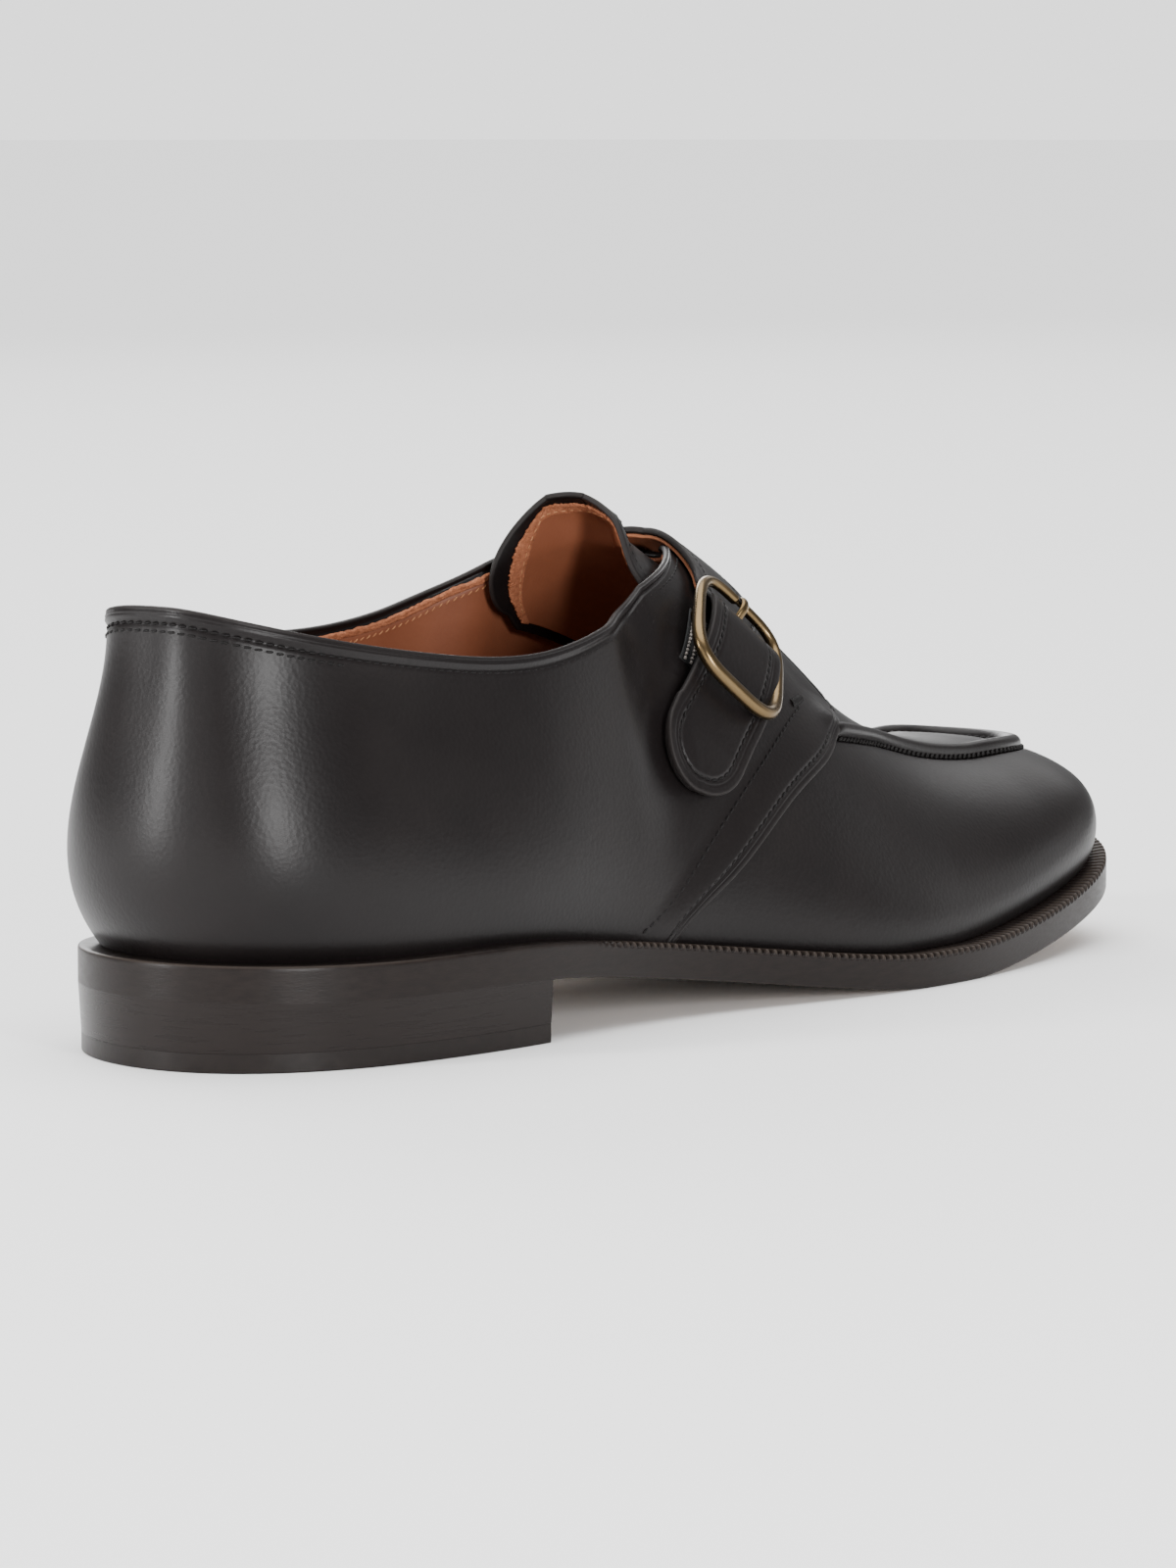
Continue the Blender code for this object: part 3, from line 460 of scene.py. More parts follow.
def node(tree, kind, links=None, **settings):
    """Add a node, set its properties and values, and link the sockets named in links."""
    made = tree.nodes.new(kind)
    for key, value in settings.items():
        if hasattr(made, key):
            setattr(made, key, value)
        else:
            made.inputs[key.replace("_", " ")].default_value = value
    for socket, source in (links or {}).items():
        tree.links.new(source, made.inputs[socket])
    return made


def make_grain():
    """Height = pebbles (distance to the nearest Voronoi cell centre) plus a finer noise."""
    tree, given, result = group("grain", [
        ("Place", "NodeSocketVector", None), ("Scale", "NodeSocketFloat", 900.0),
        ("Pebble", "NodeSocketFloat", 0.5), ("Fibre", "NodeSocketFloat", 0.5),
    ], [("Height", "NodeSocketFloat")])
    cells = node(tree, "ShaderNodeTexVoronoi", {"Vector": given.outputs["Place"],
                                                "Scale": given.outputs["Scale"]})
    noise = node(tree, "ShaderNodeTexNoise", {"Vector": given.outputs["Place"],
                                              "Scale": given.outputs["Scale"]}, Detail=3.0)
    low = node(tree, "ShaderNodeMath", {0: cells.outputs["Distance"], 1: given.outputs["Pebble"]},
               operation="MULTIPLY")
    high = node(tree, "ShaderNodeMath", {0: noise.outputs["Fac"], 1: given.outputs["Fibre"]},
                operation="MULTIPLY")
    total = node(tree, "ShaderNodeMath", {0: low.outputs[0], 1: high.outputs[0]}, operation="ADD")
    tree.links.new(total.outputs[0], result.inputs["Height"])
    return tree


def make_mottle():
    """Mask = a large soft noise pushed towards 0 and 1 by a contrast, centred on one half."""
    tree, given, result = group("mottle", [
        ("Place", "NodeSocketVector", None), ("Scale", "NodeSocketFloat", 40.0),
        ("Contrast", "NodeSocketFloat", 2.0),
    ], [("Mask", "NodeSocketFloat")])
    noise = node(tree, "ShaderNodeTexNoise", {"Vector": given.outputs["Place"],
                                              "Scale": given.outputs["Scale"]}, Detail=4.0)
    centred = node(tree, "ShaderNodeMath", {0: noise.outputs["Fac"]}, operation="SUBTRACT")
    centred.inputs[1].default_value = 0.5
    strong = node(tree, "ShaderNodeMath", {0: centred.outputs[0], 1: given.outputs["Contrast"]},
                  operation="MULTIPLY")
    back = node(tree, "ShaderNodeMath", {0: strong.outputs[0]}, operation="ADD", use_clamp=True)
    back.inputs[1].default_value = 0.5
    tree.links.new(back.outputs[0], result.inputs["Mask"])
    return tree


GRAIN, MOTTLE = make_grain(), make_mottle()
print("node groups:", GRAIN.name, MOTTLE.name)

# %% A finish from two tones, a mask and a grain
GRAIN_DEPTH = 0.0002    # metres between the grain's lowest and highest points, at full strength


def plain_material(name, **constants):
    """A material whose Principled shader has constants on its own sockets."""
    made = bpy.data.materials.new(name)
    made.use_nodes = True
    shader = made.node_tree.nodes["Principled BSDF"]
    for key, value in constants.items():
        shader.inputs[key.replace("_", " ")].default_value = value
    return made, made.node_tree, shader


def finish(name, slot, dark, light, rough, grain, mottle=(40.0, 2.0), squeeze=(1, 1, 1), bump=0.0,
           edge=None, edge_rough=0.6, **constants):
    """A Principled finish on Object coordinates: two tones and two roughnesses mixed by the mottle
    mask, a bump from the grain (scale, pebble, fibre), and another tone where the piece's edge
    attribute is 1."""
    made, tree, shader = plain_material(name, **constants)
    place = node(tree, "ShaderNodeTexCoord")
    spread = node(tree, "ShaderNodeMapping", {"Vector": place.outputs["Object"]}, Scale=squeeze)
    mask = node(tree, "ShaderNodeGroup", node_tree=MOTTLE)
    tree.links.new(spread.outputs[0], mask.inputs["Place"])
    mask.inputs["Scale"].default_value, mask.inputs["Contrast"].default_value = mottle
    tone = node(tree, "ShaderNodeMix", {"Factor": mask.outputs["Mask"]}, data_type="RGBA")
    tone.inputs[6].default_value = (*dark, 1)
    tone.inputs[7].default_value = (*light, 1)
    gloss = node(tree, "ShaderNodeMapRange", {"Value": mask.outputs["Mask"]})
    gloss.inputs["To Min"].default_value, gloss.inputs["To Max"].default_value = rough
    colour, sheen = tone.outputs[2], gloss.outputs[0]
    if edge:
        mark = node(tree, "ShaderNodeAttribute", attribute_name="edge")
        cut = node(tree, "ShaderNodeMix", {"Factor": mark.outputs["Fac"]}, data_type="RGBA")
        tree.links.new(colour, cut.inputs[6])
        cut.inputs[7].default_value = (*edge, 1)
        dull = node(tree, "ShaderNodeMix", {"Factor": mark.outputs["Fac"]}, data_type="FLOAT")
        tree.links.new(sheen, dull.inputs[2])
        dull.inputs[3].default_value = edge_rough
        colour, sheen = cut.outputs[2], dull.outputs[0]
    tree.links.new(colour, shader.inputs["Base Color"])
    tree.links.new(sheen, shader.inputs["Roughness"])
    pebbles = node(tree, "ShaderNodeGroup", node_tree=GRAIN)
    tree.links.new(spread.outputs[0], pebbles.inputs["Place"])
    for label, value in zip(("Scale", "Pebble", "Fibre"), grain):
        pebbles.inputs[label].default_value = value
    lumps = node(tree, "ShaderNodeBump", {"Height": pebbles.outputs["Height"]}, Strength=bump,
                 Distance=GRAIN_DEPTH)
    tree.links.new(lumps.outputs[0], shader.inputs["Normal"])
    return made


print("a finish has two tones, two roughnesses and a bump")

# %% The finishes of this shoe
# Each is: name, slot, dark tone, light tone, roughness from and to, and grain. The stacked heel's
# pattern is squeezed along z, so that it turns into thin level lines.
calf = finish("calf_leather", "calf_leather", (0.0052, 0.0040, 0.0041), (0.0076, 0.0058, 0.0057),
              (0.34, 0.40), (1000.0, 0.6, 0.6), bump=0.20, edge=(0.012, 0.0095, 0.009),
              edge_rough=0.55, Specular_IOR_Level=0.2)
lining = finish("lining_leather", "lining_leather", (0.165, 0.051, 0.024), (0.22, 0.076, 0.037),
                (0.50, 0.60), (1200.0, 0.4, 0.8), mottle=(60.0, 1.6), bump=0.25,
                edge=(0.27, 0.098, 0.046), edge_rough=0.9, Specular_IOR_Level=0.3)
suede = finish("raw_edge", "lining_leather", (0.22, 0.072, 0.032), (0.36, 0.135, 0.068),
               (0.85, 0.95), (2500.0, 0.8, 1.0), mottle=(900.0, 2.5), bump=0.9,
               Specular_IOR_Level=0.2)
# its edge tone is a painted highlight: only the welt has the edge attribute, on its ridges' tops and its
# rim round the heel
sole_edge = finish("sole_edge", "sole_leather", (0.0088, 0.0064, 0.0057), (0.0130, 0.0094, 0.0083),
                   (0.32, 0.40), (700.0, 0.3, 0.8), mottle=(260.0, 2.2), squeeze=(1, 1, 4), bump=0.16,
                   edge=(0.036, 0.027, 0.022), edge_rough=0.45, Specular_IOR_Level=0.15)
stack = finish("stacked_leather", "sole_leather", (0.0088, 0.0063, 0.0056), (0.0135, 0.0098, 0.0087),
               (0.25, 0.31), (260.0, 0.2, 0.9), mottle=(90.0, 1.2), squeeze=(1, 1, 14), bump=0.07,
               Specular_IOR_Level=0.17)
tread = finish("sole_underside", "sole_leather", (0.16, 0.10, 0.06), (0.22, 0.145, 0.09),
               (0.55, 0.7), (900.0, 0.5, 0.7), mottle=(50.0, 2.0), bump=0.3)
rubber = finish("heel_rubber", "heel_rubber", (0.0088, 0.0065, 0.0058), (0.0130, 0.0097, 0.0086),
                (0.30, 0.38), (900.0, 0.5, 0.6), mottle=(300.0, 2.0), bump=0.12,
                Specular_IOR_Level=0.17)
elastic = finish("gore_elastic", "gore_elastic", (0.003, 0.003, 0.0035), (0.008, 0.008, 0.009),
                 (0.7, 0.8), (2500.0, 0.5, 0.9), mottle=(1500.0, 2.0), bump=0.5,
                 Specular_IOR_Level=0.4)
cord = finish("gore_cord", "gore_elastic", (0.12, 0.11, 0.10), (0.25, 0.22, 0.20), (0.30, 0.40),
              (3000.0, 0.4, 0.9), mottle=(900.0, 2.0), bump=0.2, Specular_IOR_Level=0.6)
thread = finish("waxed_thread", "calf_leather", (0.0025, 0.0020, 0.0020), (0.006, 0.0048, 0.0046),
                (0.50, 0.62), (3000.0, 0.4, 0.9), mottle=(900.0, 2.0), bump=0.4,
                Specular_IOR_Level=0.18)
tan_thread = finish("tan_thread", "lining_leather", (0.30, 0.12, 0.05), (0.44, 0.21, 0.10),
                    (0.6, 0.75), (3000.0, 0.4, 0.9), mottle=(900.0, 2.0), bump=0.4,
                    Specular_IOR_Level=0.3)
brass = finish("antique_brass", "antique_brass", (0.115, 0.078, 0.038), (0.18, 0.125, 0.063),
               (0.24, 0.32), (1800.0, 0.1, 0.5), mottle=(90.0, 1.2), bump=0.02, Metallic=1.0)

# %% [markdown]
# ## Sole, welt and heel
# The sole is leather cut to one outline, so each layer is that outline carried through a short edge
# profile: how far the edge draws in, and how high it lies above the sole's underside. An extruded
# outline with a Bevel would do for a flat sole, but this one curves up at the toe and the arch. The
# welt's top is wheeled: a hot iron presses fine ridges across it. They are real relief here, one
# cosine wave for each ridge, because their bright ends show along the whole forefoot. They fade out
# at the heel seat. Their tops and the rim round the heel also carry a painted highlight, a lighter tone.

# %% Layers with an edge profile
def even_turns(count):
    """Angles round the whole outline at equal steps of its length."""
    fine = np.linspace(0, TAU, 6001)
    run = run_along(outline(fine))
    return np.interp(np.arange(count) * run[-1] / count, run, fine), run[-1]


def rounded(radius, low, high, steps=5, inset=0.0):
    """Edge profile rows (inset, height): a quarter circle at the bottom, then straight up to a square
    corner. The row just above the circle keeps the wall's shading flat."""
    a = np.linspace(0, math.pi / 2, steps)
    foot = [(inset + radius * (1 - math.sin(t)), low + radius * (1 - math.cos(t))) for t in a]
    return foot + [(inset, low + 1.2 * radius), (inset, high)]


def edge_ring(turns, inset, height):
    """The outline drawn in by inset, at the height that a function gives for its x."""
    edge = outline(turns) - np.broadcast_to(inset, turns.shape)[:, None] * outward(turns)
    return np.concatenate([edge, height(edge[:, 0])[:, None]], -1)


def layer(name, turns, profile, level, look, stands_for, front=False, soft=1.0):
    """A closed plate: profile rows (inset, row height) carried round the outline, at the level given
    for x and the row's height, and strips across for the top and bottom. front closes it by a straight
    face between the first and the last angle, and soft is how much of its inset each column takes."""
    rings = [edge_ring(turns, inset * soft, lambda x, high=high: level(x, high))
             for inset, high in profile]
    count, rows = len(turns), len(profile)
    index = np.arange(rows * count).reshape(rows, count)
    ends = []
    for ring in (index[0], index[-1]):
        mate = ring[::-1] if front else np.roll(ring[::-1], 1)
        half = count // 2
        ends.append(np.stack([ring[:half], ring[1:half + 1], mate[1:half + 1], mate[:half]], -1))
    faces = np.concatenate([quads(index, closed=True), *ends])
    made = piece(name, np.concatenate(rings), faces, look, stands_for)
    made.data.set_sharp_from_angle(angle=math.radians(35))
    return made


print("the outline is", even_turns(8)[1].round(), "mm round")

# %% Outsole and sock
SEAM_FILL = 0.14        # the outsole's edge rises this much, to close the line under the welt
STRIP_AREA = 1e-6       # square metres; the strips of the flat underside are all larger


def faces_of(made, kind, width):
    """One value per polygon, width numbers each, such as its normal or its area."""
    values = np.empty(len(made.data.polygons) * width)
    made.data.polygons.foreach_get(kind, values)
    return values.reshape(-1, width)


all_round = even_turns(720)[0]
past_heel = smooth(outline(all_round)[:, 0], HEEL_LENGTH - 1, HEEL_LENGTH + 2)
sole = layer("outsole_leather", all_round, rounded(0.6, 0.0, OUTSOLE + SEAM_FILL),
             lambda x, high: bottom(x) + high, sole_edge, ("outsole",), soft=past_heel)
layer("sock", all_round, rounded(0.5, GAP, GAP + INSOLE, inset=WELT_WIDTH + 0.4),
      lambda x, high: bottom(x) + OUTSOLE + high, lining, ("insole",))
sole.data.materials.append(tread)
flat_under = (faces_of(sole, "normal", 3)[:, 2] < -0.8) & (faces_of(sole, "area", 1)[:, 0] > STRIP_AREA)
sole.data.polygons.foreach_set("material_index", flat_under.astype(np.int32))

# %% The wheeled welt
WHEEL_PITCH = 2.2       # between two ridges
WHEEL_DEPTH = 0.8
WHEEL_STEPS = 10        # columns per ridge
WHEEL_START = (92.0, 110.0)     # the ridges grow out of the waist over this stretch of x
HEEL_RIM_HIGHLIGHT = (30.0, 60.0)      # painted highlight on the rim round the heel up to here, fading over this stretch
WELT_SECTION = (
    # inset, height above the welt's underside, share of the wheel's depth
    (WELT_WIDTH, 0.0, 0.0), (0.0, 0.0, 0.0), (0.0, WELT - 1.35, 0.0), (0.0, WELT - 1.25, 0.0),
    (0.0, WELT - 1.05, 0.15), (0.02, WELT - 0.6, 0.75), (0.12, WELT - 0.25, 1.0),
    (0.32, WELT - 0.05, 1.0), (0.7, WELT + 0.04, 1.0), (1.7, WELT + 0.05, 1.0),
    (2.6, WELT + 0.02, 1.0), (3.7, WELT, 1.0), (4.6, WELT, 0.4), (WELT_WIDTH, WELT, 0.0),
)


def make_welt():
    """A ring whose section is a flat strip with a rounded outer edge. Its top is lowered by half of
    one minus a cosine of the length round the welt, which makes one ridge per wheel pitch. The ridges'
    tops and the rim round the heel get a painted highlight, a lighter tone in the edge attribute."""
    ridges = int(even_turns(8)[1] / WHEEL_PITCH)
    turns = even_turns(ridges * WHEEL_STEPS)[0]
    wave = smooth(0.5 - 0.5 * np.cos(TAU * np.arange(len(turns)) / WHEEL_STEPS), 0.12, 0.85)
    along = smooth(outline(turns)[:, 0], *WHEEL_START)
    rings, painted_highlight = [], []
    for inset, high, share in WELT_SECTION:
        cut = WHEEL_DEPTH * share * wave * along
        rings.append(edge_ring(turns, inset + 0.7 * cut * (inset < 0.5),
                               lambda x: bottom(x) + OUTSOLE + SEAM_FILL + high - cut))
        # painted highlight: a lighter tone on the rounded rim round the heel and on every ridge's top
        rim = 0.6 * (0.1 < inset < 0.5) * (1 - smooth(rings[-1][:, 0], *HEEL_RIM_HIGHLIGHT))
        painted_highlight.append(share * (1 - wave) ** 2 * along * (inset < 3.0) + rim)
    index = np.arange(len(rings) * len(turns)).reshape(len(rings), -1)
    faces = quads(np.concatenate([index, index[:1]]), closed=True)
    made = piece("wheeled_welt", np.concatenate(rings), faces, sole_edge, ("welt",),
                 np.concatenate(painted_highlight))
    made.data.set_sharp_from_angle(angle=math.radians(75))
    return made


make_welt()

# %% The heel block and its top lift
def stack_profile():
    """Edge rows of the block: a fine step over the top lift, then a straight taper up to the sole."""
    shares_up = np.concatenate([[0.0, 0.006], np.linspace(0.012, 1.0, 40)])
    rows = [(HEEL_TAPER * (1 - share) + 0.05 * (share < 0.003), share) for share in shares_up]
    return rows + [(0.2, 1.002)]


heel_turns = np.linspace(-1, 1, 301) * turn_at(HEEL_LENGTH)
layer("heel_block", heel_turns, stack_profile(),
      lambda x, share: TOP_LIFT + share * (bottom(x) - TOP_LIFT), stack, ("heel_stack",), front=True)
layer("heel_lift", heel_turns, rounded(0.35, 0.0, TOP_LIFT, inset=HEEL_TAPER),
      lambda x, high: 0 * x + high, rubber, ("top_lift",), front=True)

# %% [markdown]
# ## The vamp and the apron
# The front of the shoe is two pieces sewn together by hand. The vamp comes up round the toe from the
# sole to a seam. The apron lies on top, and its edge is pinched up and rolled, so it stands proud as
# a ridge with stitches in a groove at both of its feet. A cord laid along the seam would look glued
# on. Here the seam is one curve, `up` over `turn`, and the ridge is an arch of the distance from that
# curve, so it keeps its width all the way round and stays one skin with the apron.

# %% The apron's seam
SEAM_LATERAL = (
    # x, up
    (95, 0.22), (125, 0.28), (155, 0.39), (186, 0.525), (199, 0.584), (214, 0.660), (228, 0.698),
    (247, 0.727), (265, 0.736), (279, 0.720), (289, 0.685), (297, 0.628), (302, 0.580),
)
SEAM_MEDIAL = (
    # x, up
    (95, 0.24), (125, 0.30), (155, 0.40), (186, 0.53), (200, 0.610), (214, 0.670), (228, 0.705),
    (247, 0.731), (265, 0.730), (279, 0.708), (289, 0.683), (297, 0.648), (302, 0.598),
)
SEAM_TOE = 0.566
RIDGE = (2.5, 4.1)          # height and width of the rolled edge
RIDGE_START = (183.0, 189.5)   # it rises from under the quarters over this stretch
VAMP_WALL = 1.2
TOE_PUFF = 1.0              # the stiffener inside the toe fills the leather out by this much
PUFF_START = (256.0, 296.0)     # growing over this stretch of x
PUFF_RISE = (0.12, 0.4)         # and this stretch of up


def seam_up(turn):
    """How far up the ribs the seam runs."""
    rows = ([(turn_at(x), u) for x, u in SEAM_LATERAL] + [(math.pi, SEAM_TOE)]
            + [(TAU - turn_at(x), u) for x, u in reversed(SEAM_MEDIAL)])
    return spline(column(rows, 0), column(rows, 1), turn)


def up_per_mm(turn):
    """Step of up that moves one millimetre away from the seam: one over the part of the rib's step
    that is square to the seam."""
    e = 1e-3                # a small step of turn or of up
    here = seam_up(turn)
    along = unit(last(turn + e, seam_up(turn + e)) - last(turn - e, seam_up(turn - e)))
    rib = (last(turn, here + e) - last(turn, here - e)) / (2 * e)
    square = rib - (rib * along).sum(-1, keepdims=True) * along
    return 1 / np.linalg.norm(square, axis=-1)


def puff(turn, up):
    """Extra height over the stiffened toe, fading towards the welt and the waist."""
    return TOE_PUFF * smooth(outline(turn)[..., 0], *PUFF_START) * smooth(up, *PUFF_RISE)


print("the seam rises to", seam_up(np.linspace(1, TAU - 1, 90)).max().round(3), "of the last's height")

# %% The vamp
VAMP_START = (104.0, 158.0)     # x of its hidden edge, at the sole and at the seam
TUCK = (0.6, 1.2)               # it dives this deep into the groove over this last stretch


def shares(count, low=1.0, high=1.0):
    """Steps from 0 to 1, packed closer at the start by the power low and at the end by high."""
    return 1 - (1 - np.linspace(0, 1, count) ** low) ** high


def run_in(grid, axis):
    """Distance in millimetres of every grid point from the grid's last edge, along one axis."""
    return np.moveaxis(run_along(np.moveaxis(grid, axis, 0)[::-1])[::-1], 0, axis)


def make_vamp(rows=58, columns=360):
    """Grid: columns go round the toe between two edges that lean forward, rows go from the sole to
    the seam, where the last millimetre tucks down into the groove."""
    v = shares(rows, 1.0, 1.35)[:, None]
    start = turn_at(VAMP_START[0] + (VAMP_START[1] - VAMP_START[0]) * v)
    turn = start + (TAU - 2 * start) * np.linspace(0, 1, columns)
    up = v * seam_up(turn)
    tuck = TUCK[0] * (1 - smooth(run_in(last(turn, up), 0), 0.0, TUCK[1]))
    sheet("vamp", *raised(turn, up, puff(turn, up) - VAMP_WALL / 2 - tuck), VAMP_WALL, calf)


make_vamp()

# %% The apron with its rolled edge
APRON_BACK = 163.0      # x where it ends, under the strap
ROLL = (0, 0.04, 0.1, 0.2, 0.35, 0.55, 0.8, 1.1, 1.45, 1.85, 2.25, 2.65, 3.0, 3.3, 3.55, 3.75, 3.9,
        4.02, 4.1, 4.2, 4.35, 4.6, 5.0, 5.6, 6.4)     # rows of the grid, in millimetres from the seam
GROOVES = (
    # place past the ridge's outer and inner foot, width, depth
    (0.0, 0.25, 0.65), (0.25, 0.4, 0.3),
)


def ridge_depth(turn, across):
    """Arch of the distance from the seam: one minus the square of the distance from its middle, to
    the power one half, and a bell-shaped groove at both feet, fainter where there is no ridge."""
    high, wide = RIDGE
    on = smooth(outline(turn)[..., 0], *RIDGE_START)
    from_middle = (across - wide / 2) / (wide / 2)
    arch = high * np.sqrt(np.clip(1 - from_middle ** 2, 0, 1))
    feet = sum(bell(across, foot + past, width, deep)
               for foot, (past, width, deep) in zip((0.0, wide), GROOVES))
    return arch * on - feet * (0.4 + 0.6 * on)


def shell(name, grid, index, look, wall):
    """An open shell that Solidify thickens inwards. Its faces are turned away from the shoe's middle
    plane: the sum of area times sideways normal times sideways place has to be positive."""
    made = piece(name, grid, quads(index), look, closed=False)
    normal, centre = faces_of(made, "normal", 3)[:, 1], faces_of(made, "center", 3)[:, 1]
    if (faces_of(made, "area", 1)[:, 0] * normal * centre).sum() < 0:
        made.data.flip_normals()
    thicken = made.modifiers.new("wall", "SOLIDIFY")
    thicken.thickness = wall * MM
    thicken.offset = -1.0


def make_apron(count=256):
    """A shell from the seam inwards over the crest, where its two sides are joined in the middle."""
    half = np.linspace(float(turn_at(APRON_BACK)), math.pi, count)
    turns = np.concatenate([half, TAU - half[-2::-1]])[:, None]
    near = seam_up(turns) + np.array(ROLL) * up_per_mm(turns[:, 0])[:, None]
    rest = near[:, -1:] + (1 - near[:, -1:]) * shares(36)[None, 1:]
    up = np.concatenate([near, rest], 1)
    across = np.append(ROLL, np.full(rest.shape[1], np.inf))
    grid = raised(turns, up, puff(turns, up) + ridge_depth(turns, across))[0]
    grid[:, -1] = (grid[:, -1] + grid[::-1, -1]) / 2
    index = np.arange(up.size).reshape(up.shape)
    index[count:, -1] = index[count - 2::-1, -1]
    shell("apron", grid, index, calf, VAMP_WALL)


make_apron()

# %% [markdown]
# ## The quarters
# One band of leather goes round the heel. On each side it laps over the vamp with a thick, stitched
# front edge, turns a round corner under the instep and runs back along the instep to a tab beside the
# tongue. Cutting that outline out of a finer mesh with a Boolean leaves ragged edges. So each half is
# a Coons patch, a surface blended from its four edges in `turn` and `up`, whose grid lines follow the
# cut edges. Where it lies on the vamp it stands proud by the leather's thickness, and it sinks back
# behind the overlap.

# %% Edges of the quarters
# The front edge goes from the sole to the corner, the top edge from the collar over the tab to it.
QUARTER_FRONT = (
    # x, up
    (122.6, 0.0), (126.4, 0.06), (134.3, 0.13), (143.3, 0.20), (160.7, 0.34), (177.4, 0.45),
    (187.7, 0.55), (192.4, 0.605), (194.1, 0.650),
)
QUARTER_TOP = (
    # x, up
    (137.0, 0.692), (144.0, 0.742), (150.5, 0.805), (156.0, 0.875), (158.8, 0.922), (161.0, 0.945),
    (165.0, 0.940), (172.0, 0.886), (181.0, 0.820), (188.0, 0.757), (192.6, 0.700), (194.1, 0.650),
)
COLLAR_END = 128.0      # up to here the top edge is the collar itself
QUARTER_WALL = 1.3
BASE_LIFT = 0.22        # the quarters' outer face above the last
EDGE_LIFT = 0.85        # further lift of the front edge, on the vamp
TOP_LIFT_ROWS = (
    # x, further lift of the top edge
    (0, 0.0), (128, 0.0), (150, 0.15), (170, 0.25), (184, 0.55), (190, 0.8), (194.1, 0.85),
)
STITCH_IN = (2.0, 2.8)  # first row of stitches inside the front edge and inside the collar
HEEL_SAMPLES = (0.0, 1.5, 5.0, *np.arange(12, COLLAR_END + 1, 8.285))   # x read off the collar


def through(rows, part):
    """turn and up at a part, from 0 to 1, of the length of a smooth curve through (turn, up) rows."""
    turn, up = (table_spline(rows, i, np.linspace(0, len(rows) - 1, 400)) for i in (0, 1))
    run = run_along(last(turn, up))
    return np.interp(part * run[-1], run, turn), np.interp(part * run[-1], run, up)


def sided(side, rows):
    """Rows of (x, up) as (turn, up). The medial side's turn counts down from 0, so that both halves
    of the quarters meet at the heel."""
    return [(side * float(turn_at(x)), up) for x, up in rows]


def quarter_edges(side):
    """Front and top edges of one quarter as (turn, up) rows; side is 1 lateral, -1 medial."""
    heel = collar(side * turn_at(HEEL_SAMPLES))
    return sided(side, QUARTER_FRONT), sided(side, (*zip(HEEL_SAMPLES, heel), *QUARTER_TOP))


def top_lift(x):
    """Further lift of the quarters' top edge at x, straight between the table's rows."""
    return np.interp(x, column(TOP_LIFT_ROWS, 0), column(TOP_LIFT_ROWS, 1))


for side in (1, -1):
    turn, up = through(quarter_edges(side)[1], np.linspace(0, 1, 200))
    print("the top edge is", run_along(last(turn, up))[-1].round(), "mm long on one side")

# %% The quarters
BEAD = 0.35             # roll of the folded collar edge
BEAD_RISE = (-0.2, 0.7)         # distances from the edge over which the roll rises
BEAD_FALL = (1.3, 2.0)          # and falls
PROUD_FALL = (2.0, 13.0)        # the edges' lift fades out over this distance from them
BEAD_END = (172.0, 184.0)       # x over which the folded edge turns into a cut one
PRESSED = (             # lines pressed in: distance from the edge, width and depth
    (STITCH_IN[0], 0.45, 0.32), (STITCH_IN[1], 0.55, 0.42), (0.8, 0.2, 0.14),
)
OVER_RIDGE = ((187.5, 0.565), 4.2, 1.0)     # swelling over the apron's ridge: place, radius, height
SLIT_END = ((134.5, 0.510), 2.2, 1.1)       # lump where the elastic's end is sewn in underneath


def quarter_patch(side, u, v):
    """Coons patch, once for turn and once for up: the top edge's value times v, plus the front edge's
    times u, less their shared corner's times both. The edges along the sole and up the heel are
    straight, so their own terms cancel out."""
    ahead, above = quarter_edges(side)
    v = v[:, None]
    return [v * top + u * front[:, None] - u * v * top[-1]
            for top, front in zip(through(above, u), through(ahead, v[:, 0]))]


def swelling(grid, place, radius, height, side):
    """A soft lump: a bell curve of the distance from a place given as (x, up)."""
    (turn, up), = sided(side, (place,))
    return bell(np.linalg.norm(grid - last(turn, up), axis=-1), 0.0, radius, height)


def quarter_rise(side, turn, up):
    """Height of the outer face: the base, the proud edges, the bead of the folded collar and the
    lumps, less the lines pressed in by the stitches."""
    grid = last(turn, up)
    front, top, x_top = run_in(grid, 1), run_in(grid, 0), x_at(turn[-1])
    fall_front, fall_top = (1 - smooth(distance, *PROUD_FALL) for distance in (front, top))
    folded = 1 - smooth(x_top, *BEAD_END)
    crease = np.minimum(front, top / folded.clip(1e-3))
    lumps = (OVER_RIDGE, SLIT_END) if side > 0 else (OVER_RIDGE,)
    return (BASE_LIFT + np.maximum(EDGE_LIFT * fall_front, top_lift(x_top) * fall_top)
            + BEAD * folded * smooth(top, *BEAD_RISE) * (1 - smooth(top, *BEAD_FALL))
            + sum(swelling(grid, *lump, side) for lump in lumps)
            - sum(bell(distance, *line) for distance, line in zip((front, top, crease), PRESSED)))


def make_quarters(rows=88, half=214):
    """Both halves' grids, joined at the heel into one sheet."""
    sides = []
    for side in (1, -1):
        turn, up = quarter_patch(side, shares(half, 1.0, 1.6), shares(rows, 1.0, 1.7))
        sides.append((turn, up, quarter_rise(side, turn, up)))
    turn, up, rise = (np.concatenate([a[:, ::-1], b[:, 1:]], 1) for a, b in zip(*sides))
    sheet("quarters", *raised(turn, up, rise - QUARTER_WALL / 2), QUARTER_WALL, calf, ("upper",),
          rim=7, square=0.6)


make_quarters()

